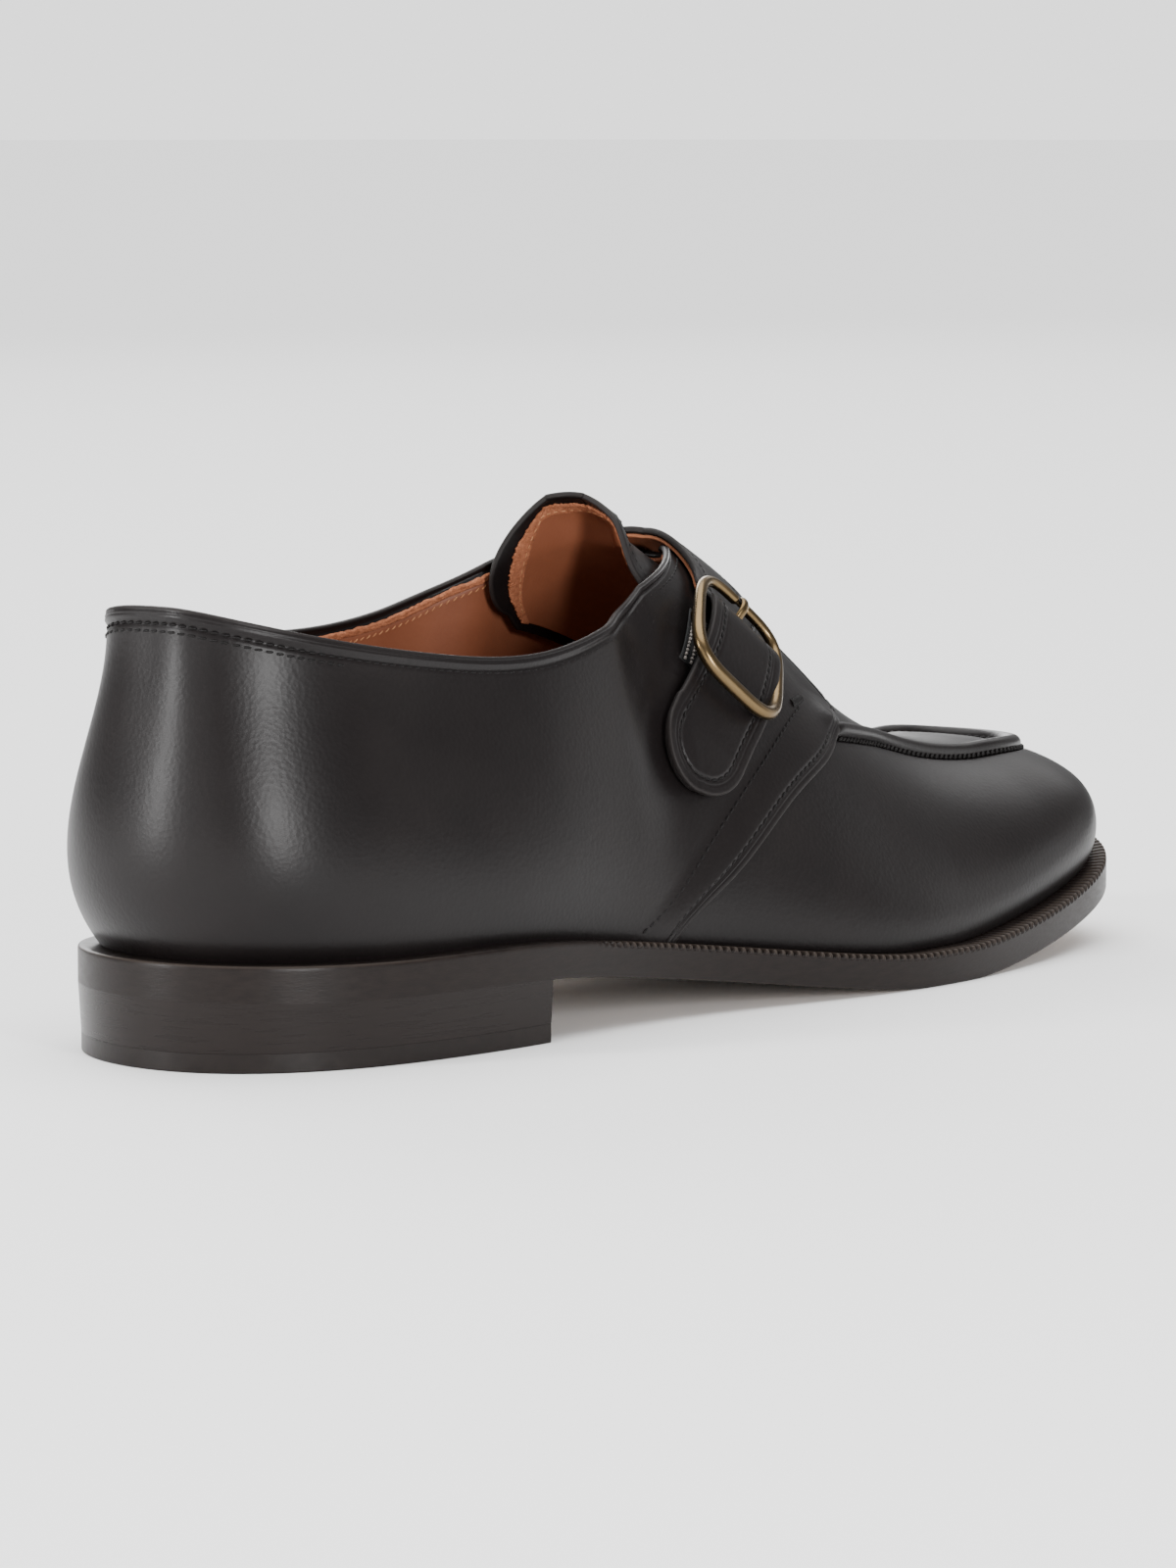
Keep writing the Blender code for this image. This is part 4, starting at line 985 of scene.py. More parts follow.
# %% [markdown]
# ## Lining and tongue
# Inside is one thin tan leather. It ends raw and a little fuzzy just below the folded collar. It could
# be the inner face of the quarters with another material, but a separate skin gives the small step
# between the two that catches the light. The tongue is a dark outer leather whose edge is turned over,
# with the same lining glued and sewn inside it, set back from the edge, so a dark border shows all
# round. Near the root it lies under the quarters, and between their edges it springs open.

# %% The lining
LINING_WALL = 0.8
LINING_DEPTH = 1.2      # its outer face lies this far inside the last
LINING_DROP = 1.9       # below the collar's edge
LINING_SHUT = 163.0     # from this x on the lining closes over the crest


def top_of_lining(turn, drop):
    """Height of the lining's edge over each rib: the quarters' top edge less the drop in millimetres.
    Where the tabs rise, the edge is the lower of the collar and the tab."""
    from_heel = np.where(turn > math.pi, TAU - turn, turn)
    edge = collar(turn)
    rising = QUARTER_TOP[:6]
    tab = np.interp(from_heel, turn_at(column(rising, 0)), column(rising, 1))
    edge = np.where(from_heel > turn_at(COLLAR_END + 5), np.minimum(tab, edge), edge)
    speed = np.linalg.norm(last(turn, edge) - last(turn, edge - 0.01), axis=-1) / 0.01
    shut = from_heel > turn_at(LINING_SHUT)
    return np.where(shut, 1.0, edge - drop / speed), shut


def make_lining(count=200, rows=34):
    """A shell all the way round, open at the collar and closed over the crest before the tongue."""
    half = np.linspace(0, math.pi, count)
    turns = np.concatenate([half, TAU - half[-2:0:-1]])
    end, shut = top_of_lining(turns, LINING_DROP)
    up = np.linspace(0.004, 1, rows)[None, :] * end[:, None]
    grid = raised(turns[:, None], up, -LINING_DEPTH)[0]
    here = np.arange(len(turns))
    mate = -here % len(turns)       # the rib opposite
    grid[:, -1] = np.where(shut[:, None], (grid[:, -1] + grid[mate, -1]) / 2, grid[:, -1])
    index = np.arange(up.size).reshape(up.shape)
    index[:, -1] = np.where(shut & (mate < here), index[mate, -1], index[:, -1])
    shell("lining", grid, np.concatenate([index, index[:1]]), lining, LINING_WALL)


make_lining()

# %% The tongue
TONGUE_END = (
    # over, x
    (0.60, 150.0), (0.68, 142.0), (0.78, 138.5), (0.90, 138.0), (1.00, 136.5), (1.10, 132.5),
    (1.18, 126.5), (1.26, 123.6), (1.33, 124.6), (1.385, 128.6), (1.42, 137.0),
)
TONGUE_ROOT = (208.0, 0.68, 1.34)   # x, and over at both edges
TONGUE_FLARE = 3.0      # how far it springs open
TONGUE_CLEAR = 1.4      # its outer face lies this far below the quarters' inner face
TONGUE_BORDER = 0.037   # dark border round the lining, as a share of the tongue's width and length
TONGUE_TOP = TONGUE - 0.65      # the dark leather's share of the thickness
TONGUE_LINED = (1.3, 0.6)       # depth of the lining's outer side under it, and the lining's thickness


def tongue_rise(x, over):
    """Height above the tongue's place under the quarters: it springs open between their edges."""
    lateral, medial = collar(turn_at(x)), 2 - collar(TAU - turn_at(x))
    return TONGUE_FLARE * smooth(np.minimum(over - lateral, medial - over) / 0.16)


def tongue_grid(share, run):
    """x and over of the tongue: each column runs from the free end's curve to the root."""
    x_root, low_root, high_root = TONGUE_ROOT
    over_end, x_end = (table_spline(TONGUE_END, i, share * (len(TONGUE_END) - 1)) for i in range(2))
    over_root = low_root + (high_root - low_root) * share
    run = np.asarray(run)[..., None]
    return x_end + (x_root - x_end) * run, over_end + (over_root - over_end) * run


def on_tongue(x, over, depth=0.0):
    """Points and normals at a depth under the tongue's outer face."""
    return raised(*over_turn(x, over), tongue_rise(x, over) - WALL - TONGUE_CLEAR - depth)


outer = tongue_grid(np.linspace(0, 1, 170), shares(48, 1.3))
sheet("tongue_leather", *on_tongue(*outer, TONGUE_TOP / 2), TONGUE_TOP, calf, ("tongue",))
inner = tongue_grid(np.linspace(TONGUE_BORDER, 1 - TONGUE_BORDER, 160),
                    TONGUE_BORDER + (1 - TONGUE_BORDER) * shares(46, 1.3))
sheet("tongue_lining", *on_tongue(*inner, TONGUE_LINED[0] + TONGUE_LINED[1] / 2), TONGUE_LINED[1],
      lining)

# %% [markdown]
# ## Strap, elastic and buckle
# The strap comes over the instep from the inner side, runs under the buckle's top bar, over the hidden
# centre bar and under the bottom bar, and ends in a round tip. A strap bent along a curve would cut
# into the instep, so this one is laid on the last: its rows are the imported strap's, two edges over the
# ribs and the height of its underside. On top is black calf with a rounded edge, under it the tan
# lining, a little narrower.

# %% The strap
STRAP_TIP = (
    # the tip's point, the step on to it from row 0, and the growth in width over that step
    (129.4, -7.9, 0.57),        # in x
    (0.326, -0.070, -0.027),    # and in over
)
STRAP_ROWS = (
    # rear_x, rear_over, front_x, front_over, clear
    (128.5, 0.449, 144.8, 0.362, 0.9), (132.8, 0.481, 148.8, 0.405, 1.6),
    (137.0, 0.519, 152.9, 0.446, 2.4), (141.5, 0.567, 157.1, 0.498, 3.9),
    (145.3, 0.614, 160.9, 0.546, 4.6), (148.6, 0.659, 163.8, 0.592, 4.2),
    (150.7, 0.692, 164.9, 0.631, 1.7), (152.8, 0.733, 168.5, 0.665, 0.9),
    (155.4, 0.787, 171.0, 0.719, 0.7), (157.0, 0.900, 174.0, 0.880, 0.6),
    (157.5, 1.000, 175.5, 1.000, 0.6), (157.0, 1.100, 175.5, 1.120, 0.6),
    (155.0, 1.200, 174.0, 1.220, 0.5), (150.0, 1.310, 169.5, 1.340, 0.5),
    (143.5, 1.410, 163.0, 1.450, 0.5), (137.0, 1.500, 156.0, 1.540, 0.5),
)
STRAP_TOP = 1.5         # of the strap's thickness, the rest is lining
STRAP_SEAM = 2.7        # the stitches lie this far inside the edge
STRAP_CREASE = 1.4      # and a fine creased line this far


def strap_at(first=-0.97, end=len(STRAP_ROWS) - 1):
    """Row numbers along the strap, closer together in the round tip below row 0."""
    return np.concatenate([np.linspace(first, 0, 56)[:-1], np.linspace(0, end, 210)])


def strap_grid(at, across):
    """x, over and clear; across runs from the rear to the front edge. Below row 0 is the round tip, an
    ellipse: the sine of an angle goes on in the strap's direction and its flare while the cosine
    narrows the row, and one minus the cosine leads to the tip's point."""
    rear_x, rear_over, front_x, front_over, clear = (
        table_spline(STRAP_ROWS, i, np.maximum(at, 0))[:, None] for i in range(5))
    angle = np.minimum(at, 0)[:, None] * math.pi / 2
    ahead, lean = -np.sin(angle), 1 - np.cos(angle)
    wide = np.cos(angle) * (across - 0.5)

    def carried(rear, front, point, step, growth):
        """One column: its middle moved on and drawn to the tip's point, plus its share of the width."""
        middle = (rear + front) / 2
        return (middle + ahead * step + lean * (point - middle - step)
                + wide * (front - rear + ahead * growth))

    return carried(rear_x, front_x, *STRAP_TIP[0]), carried(rear_over, front_over, *STRAP_TIP[1]), clear


def from_rim(grid):
    """Distance of every grid point to the nearest point of the first row and of both side columns."""
    rim = np.concatenate([grid[0], grid[:, 0], grid[:, -1]])
    flat = grid.reshape(-1, 3)
    square = (flat ** 2).sum(1)[:, None] + (rim ** 2).sum(1)[None] - 2 * flat @ rim.T
    return np.sqrt(square.min(1).clip(0)).reshape(grid.shape[:2])


def make_strap():
    """Top leather with a groove under its stitches, then the backing under the tip and the lining.
    Each is a sheet whose middle lies half its thickness above its underside."""
    even = np.linspace(0, 1, 64)
    x, over, clear = strap_grid(strap_at(), (even + 0.5 - 0.5 * np.cos(math.pi * even)) / 2)
    inside = from_rim(last(*over_turn(x, over)))
    pressed = bell(inside, STRAP_SEAM, 0.45, 0.34) + bell(inside, STRAP_CREASE, 0.22, 0.12)
    sheet("strap_leather", *raised(*over_turn(x, over), clear + STRAP - STRAP_TOP / 2 - pressed),
          STRAP_TOP, calf, ("strap",), rim=7, square=0.55)
    under = STRAP - STRAP_TOP - 0.1
    for name, at, look in (("strap_backing", strap_at(-0.95, 3.2), calf),
                           ("strap_lining", np.linspace(6.7, 14.9, 200), lining)):
        x, over, clear = strap_grid(at, np.linspace(0.02, 0.98, 24))
        sheet(name, *raised(*over_turn(x, over), clear + 0.06 + under / 2), under, look, square=0.6)


make_strap()

# %% [markdown]
# ## Thread, and the elastic with its wrapped cords
# A seam is a row of separate stitches. Drawn as one bumpy line it looks like a zip, so each stitch is
# its own small bowed capsule of a few dozen faces, laid at an even pitch along a path on the leather.
# The same capsules, short and fat, make the thread wound round the rubber cords of the elastic.

# %% Stitches
STITCH_SIDES = 6
STITCH_RINGS = (
    # place from the stitch's middle to its end, share of the radius
    (-1.0, 0.02), (-0.92, 0.7), (-0.55, 1.0), (0.0, 1.0), (0.55, 1.0), (0.92, 0.7), (1.0, 0.02),
)


def resample(path, pitch, *extras, start=0.5):
    """Points every pitch along a path, with the extra arrays read at the same places."""
    run = run_along(path)
    at = np.arange(start * pitch, run[-1] - (1 - start) * pitch + 1e-6, pitch)
    return [np.stack([np.interp(at, run, a[:, k]) for k in range(3)], -1) for a in (path, *extras)]


def capsules(centres, along, normal, length, radius, bow, sink):
    """One capsule for each centre: rings of points whose radius falls to nothing at both ends, on a
    middle line that bows up by bow, as one minus a square, and lies sink below the surface at its
    ends."""
    t, thick = (np.array(column(STITCH_RINGS, i)) for i in range(2))
    angle = np.linspace(0, TAU, STITCH_SIDES, endpoint=False)
    side = unit(np.cross(along, normal))
    line = (centres[:, None] + t[None, :, None] * length / 2 * along[:, None]
            + (bow * (1 - t ** 2) - sink)[None, :, None] * normal[:, None])
    aside, high = (radius * thick[:, None] * wave(angle) for wave in (np.cos, np.sin))
    ring = (line[:, :, None] + aside[None, :, :, None] * side[:, None, None]
            + high[None, :, :, None] * normal[:, None, None])
    size = len(t) * STITCH_SIDES
    index = np.arange(size).reshape(len(t), STITCH_SIDES)
    caps = [index[end, corners] for end in (0, -1) for corners in ([0, 1, 2, 3], [0, 3, 4, 5])]
    one = np.concatenate([quads(index, closed=True), caps])
    faces = (one[None] + np.arange(len(centres))[:, None, None] * size).reshape(-1, 4)
    return ring.reshape(-1, 3), faces


def stitches(name, seams, look, pitch, radius, bow, sink, share=0.78, slant=0.0):
    """Capsules along every seam of a list of (path, normals), each share of the pitch long, turned
    about the normal by slant radians."""
    points, faces, start = [], [], 0
    for path, normal in seams:
        centre, up = resample(path, pitch, normal)
        up = unit(up)
        along = unit(np.gradient(centre, axis=0))
        along = unit(along - (along * up).sum(-1, keepdims=True) * up)
        along = math.cos(slant) * along + math.sin(slant) * np.cross(up, along)
        more, corners = capsules(centre, along, up, share * pitch, radius, bow, sink)
        points.append(more)
        faces.append(corners + start)
        start += len(more)
    return piece(name, np.concatenate(points), np.concatenate(faces), look)


print("a stitch has", STITCH_SIDES * (len(STITCH_RINGS) - 1) + 4, "faces")

# %% The elastic
GORE_ROWS = (
    # rear_x, rear_over, front_x, front_over
    (135.5, 0.529, 153.3, 0.449), (140.0, 0.577, 157.7, 0.500), (143.6, 0.620, 161.4, 0.544),
    (146.3, 0.654, 164.1, 0.578),
)
GORE_CORDS = (0.03, 0.11, 0.19)     # where the rubber cords lie across its width
CORD_BEAD = 1.15                    # from one wrap of thread to the next
GORE_SINK = 2.0                     # its lower end goes down through a slit in the quarter


def gore_place(along, across):
    """turn and up on the elastic: spline along the table, straight from edge to edge."""
    rear_x, rear_over, front_x, front_over = (
        table_spline(GORE_ROWS, i, along * (len(GORE_ROWS) - 1)) for i in range(4))
    return over_turn(rear_x + (front_x - rear_x) * across, rear_over + (front_over - rear_over) * across)


def make_gore():
    """A thin flat web, and on its rear edge the wrapped cords: rows of small beads."""
    along = np.linspace(0, 1, 60)[:, None]
    sink = GORE_SINK * (1 - smooth(along, 0.0, 0.16))
    sheet("gore_web", *raised(*gore_place(along, np.linspace(0, 1, 40)), GAP + GORE / 2 - sink),
          GORE - 0.3, elastic, ("gore",), rim=3)
    cords = [raised(*gore_place(np.linspace(0.08, 0.99, 120), share), GAP + GORE)
             for share in GORE_CORDS]
    stitches("gore_cords", cords, cord, pitch=CORD_BEAD, radius=0.36, share=0.6, bow=0.24, sink=0.02)


make_gore()

# %% [markdown]
# ## The buckle
# It is bent from one brass wire, a rounded square with a straight bar behind it and a flat prong that
# hooks round the bar. A bevelled curve would do for the ring, but its wire is thicker on one side and
# has a shallow notch where the prong rests, so it is a tube with its own size at every point.

# %% The buckle's frame
BUCKLE_CENTRE = (154.4, -30.4, 76.1)
BUCKLE_ACROSS = (0.727, -0.222, -0.649)     # direction of its bars
BUCKLE_ALONG = (0.658, 0.493, 0.569)        # and of the prong, over the instep
BUCKLE_SIZE = (26.4, 28.0)                  # between the middles of its wire
BUCKLE_SQUARE = 3.7         # 2 would be an ellipse, and a large number a rectangle
FRAME_WIRE = (2.3, 3.2)     # at the prong's side and opposite it
BAR_ROWS = (
    # across, out
    (13.8, -0.3), (12.9, -1.7), (11.6, -2.7), (10.0, -2.85), (4.0, -2.85),
)
BAR_WIRE = 1.5
NOTCH = (1.55, 0.5)         # half-width along the bar, and share of the wire cut away
bars = unit(np.array(BUCKLE_ACROSS))
out = unit(np.cross(bars, np.array(BUCKLE_ALONG)))
along = np.cross(out, bars)
centre = np.array(BUCKLE_CENTRE)


def ring_path(count=340):
    """Superellipse: cosine and sine of an angle, each to the power of two over BUCKLE_SQUARE, at equal
    steps of its length."""
    angle = np.linspace(0, TAU, 4 * count + 1)
    ray = np.stack([np.cos(angle), np.sin(angle)], -1)
    loop = np.array(BUCKLE_SIZE) / 2 * np.sign(ray) * abs(ray) ** (2 / BUCKLE_SQUARE)
    run = run_along(loop)
    at = np.arange(count) * run[-1] / count
    return np.stack([np.interp(at, run, loop[:, k]) for k in range(2)], -1)


def make_ring():
    """The wire's size goes evenly from the prong's side to the far side, less the notch."""
    path = ring_path()
    share = 0.5 - path[:, 1] / BUCKLE_SIZE[1]
    wire = (FRAME_WIRE[0] + (FRAME_WIRE[1] - FRAME_WIRE[0]) * share) / 2
    wide, cut = NOTCH
    wire = wire * (1 - cut * np.exp(-(path[:, 0] / wide) ** 8) * (path[:, 1] > 0))
    tube("buckle_ring", centre + path @ np.stack([bars, along]), out, np.stack([wire, wire], -1), brass,
         ("buckle_frame",), sides=28, closed=True)


def make_bar():
    """Straight lines between the rows and their mirror images on the other side."""
    across, dip = (np.array(column(BAR_ROWS, i)) for i in range(2))
    ends = np.concatenate([-across, across[::-1]]), np.concatenate([dip, dip[::-1]])
    at = np.linspace(0, 2 * len(across) - 1, 90)
    line = np.stack([np.interp(at, np.arange(2 * len(across)), values) for values in ends], -1)
    tube("buckle_bar", centre + line @ np.stack([bars, out]), along, BAR_WIRE / 2, brass, sides=16)


make_ring()
make_bar()

# %% The prong
PRONG_LOOP = 1.25           # radius of the hook round the bar
PRONG_TURNS = (165, 320)    # degrees round the bar where the hook starts and ends
PRONG_HOOK = (1.3, 0.25)    # half-width and half-thickness of the hook
PRONG_ROWS = (
    # along, out, half_width, half_thickness
    (3.5, -2.8, 1.2, 0.40), (7.0, -2.2, 1.0, 0.50), (9.2, -1.0, 1.0, 0.55), (10.8, 0.3, 1.0, 0.60),
    (12.2, 1.2, 1.0, 0.60), (13.6, 1.4, 1.0, 0.55), (14.8, 1.0, 0.95, 0.5), (15.4, 0.1, 0.85, 0.4),
)
PRONG_TIP = 0.7             # length over which the tip rounds off


def make_prong():
    """A flat hook round the bar whose middle line then follows the rows to a round tip, where the
    sizes shrink with the square root of one minus a square."""
    turns = np.radians(np.linspace(*PRONG_TURNS, 12))
    rows = [(PRONG_LOOP * math.cos(t), BAR_ROWS[-1][1] + PRONG_LOOP * math.sin(t), *PRONG_HOOK)
            for t in turns] + list(PRONG_ROWS)
    knots = run_along(np.array(rows)[:, :2])
    at = np.linspace(0, knots[-1], 110)
    ahead, rise, wide, thick = (spline(knots, column(rows, i), at) for i in range(4))
    tip = np.clip((at - knots[-1] + PRONG_TIP) / PRONG_TIP, 0, 0.995)
    path = centre + ahead[:, None] * along + rise[:, None] * out
    up = np.cross(np.gradient(path, axis=0), bars)
    tube("prong", path, up, np.stack([wide, thick], -1) * np.sqrt(1 - tip ** 2)[:, None], brass,
         ("buckle_prong",), sides=18)


make_prong()

# %% [markdown]
# ## Stitching
# Every row runs at a fixed distance from a cut edge, as a machine's guide would keep it. Drawing each
# row as a curve of its own would work until an edge is changed. Here the path is found by stepping
# sideways on the last from the edge itself, so when an edge moves its stitches follow.

# %% A path beside an edge
def beside(turn, up, distance, steps=4):
    """Move a path on the last sideways by a distance in millimetres. The tangent plane at each point
    turns a sideways step into a step of turn and up by least squares. Left of the path is positive."""
    for _ in range(steps):
        e = 1e-4
        by_turn = (last(turn + e, up) - last(turn - e, up)) / (2 * e)
        low, high = np.maximum(up - e, 0), np.minimum(up + e, 1)
        by_up = (last(turn, high) - last(turn, low)) / (high - low)[:, None]
        path = last(turn, up)
        side = unit(np.cross(normal_at(turn, up), unit(np.gradient(path, axis=0))))
        a, b, c = (by_turn ** 2).sum(-1), (by_turn * by_up).sum(-1), (by_up ** 2).sum(-1)
        p, q = (by_turn * side).sum(-1), (by_up * side).sum(-1)
        det = a * c - b * b
        turn = turn + (c * p - b * q) / det * distance / steps
        up = np.clip(up + (a * q - b * p) / det * distance / steps, 0, 1)
    return turn, up


stepped = beside(*through(quarter_edges(1)[0], np.linspace(0, 1, 50)), STITCH_IN[0])
print("the front row starts at x", x_at(stepped[0][0]).round(1))

# %% Rows on the quarters
SECOND_ROW = 4.3            # second row round the heel, inside the collar
SECOND_ROW_END = 40.0       # x where it ends
CORNER_CLEAR = (0.028, 191.0)   # the rows stop short of the corner by this much up, and at this x
PRESSED_IN = (0.22, 0.28)   # stitches of the front and of the top row lie this deep in their line
HOLD_ROW = (
    # x, up; the line that holds the quarter's lining to the vamp, behind the front edge
    (113.0, 0.02), (119.0, 0.08), (128.5, 0.17), (144.1, 0.31), (166.0, 0.478), (178.0, 0.566),
)


def quarter_rows(side):
    """The row beside the whole edge of one quarter, from the sole up to the corner and back round the
    tab and the collar to the heel, then the second row round the heel and the row behind the edge."""
    ahead, above = quarter_edges(side)
    front_edge = through(ahead, np.linspace(0, 1, 160))
    top_edge = through(above, np.linspace(0, 1, 360))
    turn, up = beside(*front_edge, side * STITCH_IN[0])
    keep = up < front_edge[1][-1] - CORNER_CLEAR[0]
    rows = [raised(turn[keep], up[keep], BASE_LIFT + EDGE_LIFT - PRESSED_IN[0])]
    turn, up = beside(*top_edge, -side * STITCH_IN[1])
    keep = x_at(turn) < CORNER_CLEAR[1]
    rows.append(raised(turn[keep], up[keep], BASE_LIFT + top_lift(x_at(turn[keep])) - PRESSED_IN[1]))
    near_heel = x_at(top_edge[0]) < SECOND_ROW_END
    low = beside(top_edge[0][near_heel], top_edge[1][near_heel], -side * SECOND_ROW)
    rows.append(raised(*low, BASE_LIFT))
    hold = through(sided(side, HOLD_ROW), np.linspace(0, 1, 200))
    return rows + [raised(*hold, BASE_LIFT + 0.12)]


stitches("quarter_stitching", quarter_rows(1) + quarter_rows(-1), thread, pitch=2.3, radius=0.26,
         bow=0.24, sink=0.14, slant=0.12)

# %% Apron stitches, at both feet of the ridge
APRON_ROWS = (
    # millimetres from the seam, height over the vamp
    (-0.1, 0.15), (RIDGE[1] + 0.25, 0.0),
)


def apron_rows(start=188.0, count=900):
    """Two rows at a fixed distance below and above the seam, from x = start round the toe."""
    turns = np.linspace(turn_at(start), TAU - turn_at(start), count)
    up, step = seam_up(turns), up_per_mm(turns)
    lift, normal = puff(turns, up), normal_at(turns, up)
    return [(raised(turns, up + away * step, lift + high)[0], normal) for away, high in APRON_ROWS]


stitches("apron_stitching", apron_rows(), thread, pitch=2.0, radius=0.38, share=0.92, bow=0.5,
         sink=0.15, slant=0.5)

# %% Strap rows
STRAP_END_ROWS = (14.72, 14.35)     # rows of the strap's table where it is sewn down


def strap_seam(inset):
    """The strap's edge moved inwards: down the rear edge, round the tip and up the front edge."""
    x, over, clear = strap_grid(strap_at(), np.array([0.0, 1.0]))
    x_edge, over_edge = (np.concatenate([values[::-1, 0], values[1:, 1]]) for values in (x, over))
    lift = np.concatenate([clear[::-1, 0], clear[1:, 0]])
    edge, normal = raised(*over_turn(x_edge, over_edge), lift + STRAP - 0.24)
    side = unit(np.cross(normal, unit(np.gradient(edge, axis=0))))
    middle = last(*over_turn(x.mean(1), over.mean(1)))
    toward = np.concatenate([middle[::-1], middle[1:]]) - edge
    return edge + inset * side * np.sign((side * toward).sum()), normal


def strap_end_row(row):
    """A row straight across the strap's inner end, where it is sewn down on the quarter."""
    x, over, clear = strap_grid(np.array([row]), np.linspace(0.16, 0.84, 60))
    return raised(*over_turn(x[0], over[0]), clear[0] + STRAP - 0.1)


stitches("strap_stitching", [strap_seam(STRAP_SEAM), *map(strap_end_row, STRAP_END_ROWS)], thread,
         pitch=2.0, radius=0.25, bow=0.16, sink=0.12, slant=0.1)

# %% Tongue rows
TONGUE_FLAT = (93.75, 90.0)     # its width and length at the free end, laid flat


def tongue_row(inset, side, depth):
    """A row inset from the tongue's free end, on its lining (side -1) or its outer face (side 1)."""
    edge = inset / TONGUE_FLAT[0]
    x, over = tongue_grid(np.linspace(edge, 1 - edge, 400), inset / TONGUE_FLAT[1])
    path, normal = on_tongue(x, over, depth)
    return path, side * normal


stitches("tongue_stitching", [tongue_row(5.5, -1, sum(TONGUE_LINED) + 0.03)], tan_thread, pitch=1.9,
         radius=0.15, bow=0.16, sink=0.1)
stitches("tongue_edge_stitching", [tongue_row(4.25, 1, 0.04)], thread, pitch=2.0, radius=0.14, bow=0.06,
         sink=0.08)

# %% The row on the lining
LINING_ROW = 2.0        # below the lining's own edge


def round_heel(x, count):
    """Turns from x on the inner side back round the heel to x on the outer side."""
    half = np.linspace(0, float(turn_at(x)), count)
    return np.concatenate([TAU - half[::-1], half[1:]])


def lining_row():
    """A row at a fixed drop below the lining's edge, on its inner face."""
    turns = round_heel(150.0, 400)
    up = top_of_lining(turns % TAU, LINING_DROP + LINING_ROW)[0]
    path, normal = raised(turns, up, -LINING_DEPTH - LINING_WALL)
    return path, -normal


stitches("lining_stitching", [lining_row()], tan_thread, pitch=1.8, radius=0.16, bow=0.16, sink=0.1,
         slant=0.5)

# %% [markdown]
# ## Raw edges and the bar tack
# The lining's cut edge is suede: its fibres stand up unevenly. Hair would show them one by one, but at
# this size only their ragged outline counts, so a narrow strip with a ragged top, drawn from a fixed
# seed, stands for them. The bar tack is a block of thread laid side by side where the quarter takes
# the pull of the strap.

# %% Ragged strips
COLLAR_FRINGE = (0.3, 0.5, 0.22)        # up and down from the lining's edge, and raggedness
TONGUE_FRINGE = (0.0035, 0.036, 0.0032)     # out and in from the border's line, and raggedness


def ragged(count, size, seed):
    """Sum of three random waves drawn from a fixed seed, about one size high; each next wave has half
    as many knots and 0.6 of the height."""
    draw = np.random.default_rng(seed)
    total = np.zeros(count)
    for octave in range(3):
        knots = np.linspace(0, 1, max(6, int(count / 2 ** (octave + 1))))
        heights = draw.uniform(-1, 1, len(knots))
        total += np.interp(np.linspace(0, 1, count), knots, heights) * 0.6 ** octave
    return size * total


def fringe(name, turn, up, depth, rough, seed, thickness):
    """A narrow suede sheet at a depth below the last, whose face is uneven by rough."""
    uneven = ragged(up.size, 1.0, seed).reshape(up.shape)
    sheet(name, *raised(turn, up, -depth - rough * uneven), thickness, suede, rim=3)


def collar_fringe():
    """From just below the lining's edge to a ragged line just above it."""
    over, under, rough = COLLAR_FRINGE
    turns = round_heel(158.0, 660)
    high = top_of_lining(turns % TAU, LINING_DROP - over)[0]
    low = top_of_lining(turns % TAU, LINING_DROP + under)[0]
    high = high + ragged(len(turns), rough, 3) * (high - low) / (over + under)
    up = low + (high - low) * np.linspace(0, 1, 6)[:, None]
    fringe("lining_raw_edge", np.broadcast_to(turns, up.shape), up,
           LINING_DEPTH + LINING_WALL / 2 + 0.15, 0.1, 4, 0.95)


def tongue_fringe():
    """Along the free end of the tongue's lining, from a ragged line on the border inwards."""
    outside, inside, rough = TONGUE_FRINGE
    edge = TONGUE_BORDER - 2 * outside
    share = np.linspace(edge, 1 - edge, 700)
    start = TONGUE_BORDER - outside + ragged(len(share), rough, 5)
    part = start + (TONGUE_BORDER + inside - start) * np.linspace(0, 1, 7)[:, None]
    (x_end, x_root), (over_end, over_root) = tongue_grid(share, np.array([0.0, 1.0]))
    x, over = x_end + (x_root - x_end) * part, over_end + (over_root - over_end) * part
    depth = (WALL + TONGUE_CLEAR + TONGUE_LINED[0] + TONGUE_LINED[1] / 2 + 0.08
             - tongue_rise(x, over))
    fringe("tongue_raw_edge", *over_turn(x, over), depth, 0.06, 6, 0.62)


collar_fringe()
tongue_fringe()

# %% The bar tack
BAR_TACK = ((173.5, 0.550), (179.0, 0.583))     # x and up of its two ends
BAR_TACK_THREADS = 10


def bar_tack(length=2.1, lean=0.35):
    """Threads laid across a short line, close enough to touch; lean is their slope along the line."""
    (turn_a, up_a), (turn_b, up_b) = sided(1, BAR_TACK)
    t = np.linspace(0, 1, BAR_TACK_THREADS)
    centre, normal = raised(turn_a + (turn_b - turn_a) * t, up_a + (up_b - up_a) * t, BASE_LIFT + 0.3)
    line = unit(np.gradient(centre, axis=0))
    across = unit(np.cross(normal, line) + lean * line)
    piece("bar_tack", *capsules(centre, across, normal, length, radius=0.25, bow=0.3, sink=0.3), thread)


bar_tack()

# %% [markdown]
# ## Floor, light and camera
# The shoe stands on a plain pale floor. Almost all of the light on the floor comes from a very soft
# overhead sun, which gives an even floor and a faint shadow. Polished black leather shows little of
# it: what shows there is the mirror image of bright panels, so those are placed one by one. Two tall
# strips draw the lines of light on the heel and on the quarter, a weak panel fills the heel, and three
# more draw the sheen on the toe and the apron. The camera looks from behind the buckle's side, nearly
# level, with a long lens.

# %% Floor
FLOOR_TONE = 0.93
FLOOR_RADIUS = 9.0      # metres


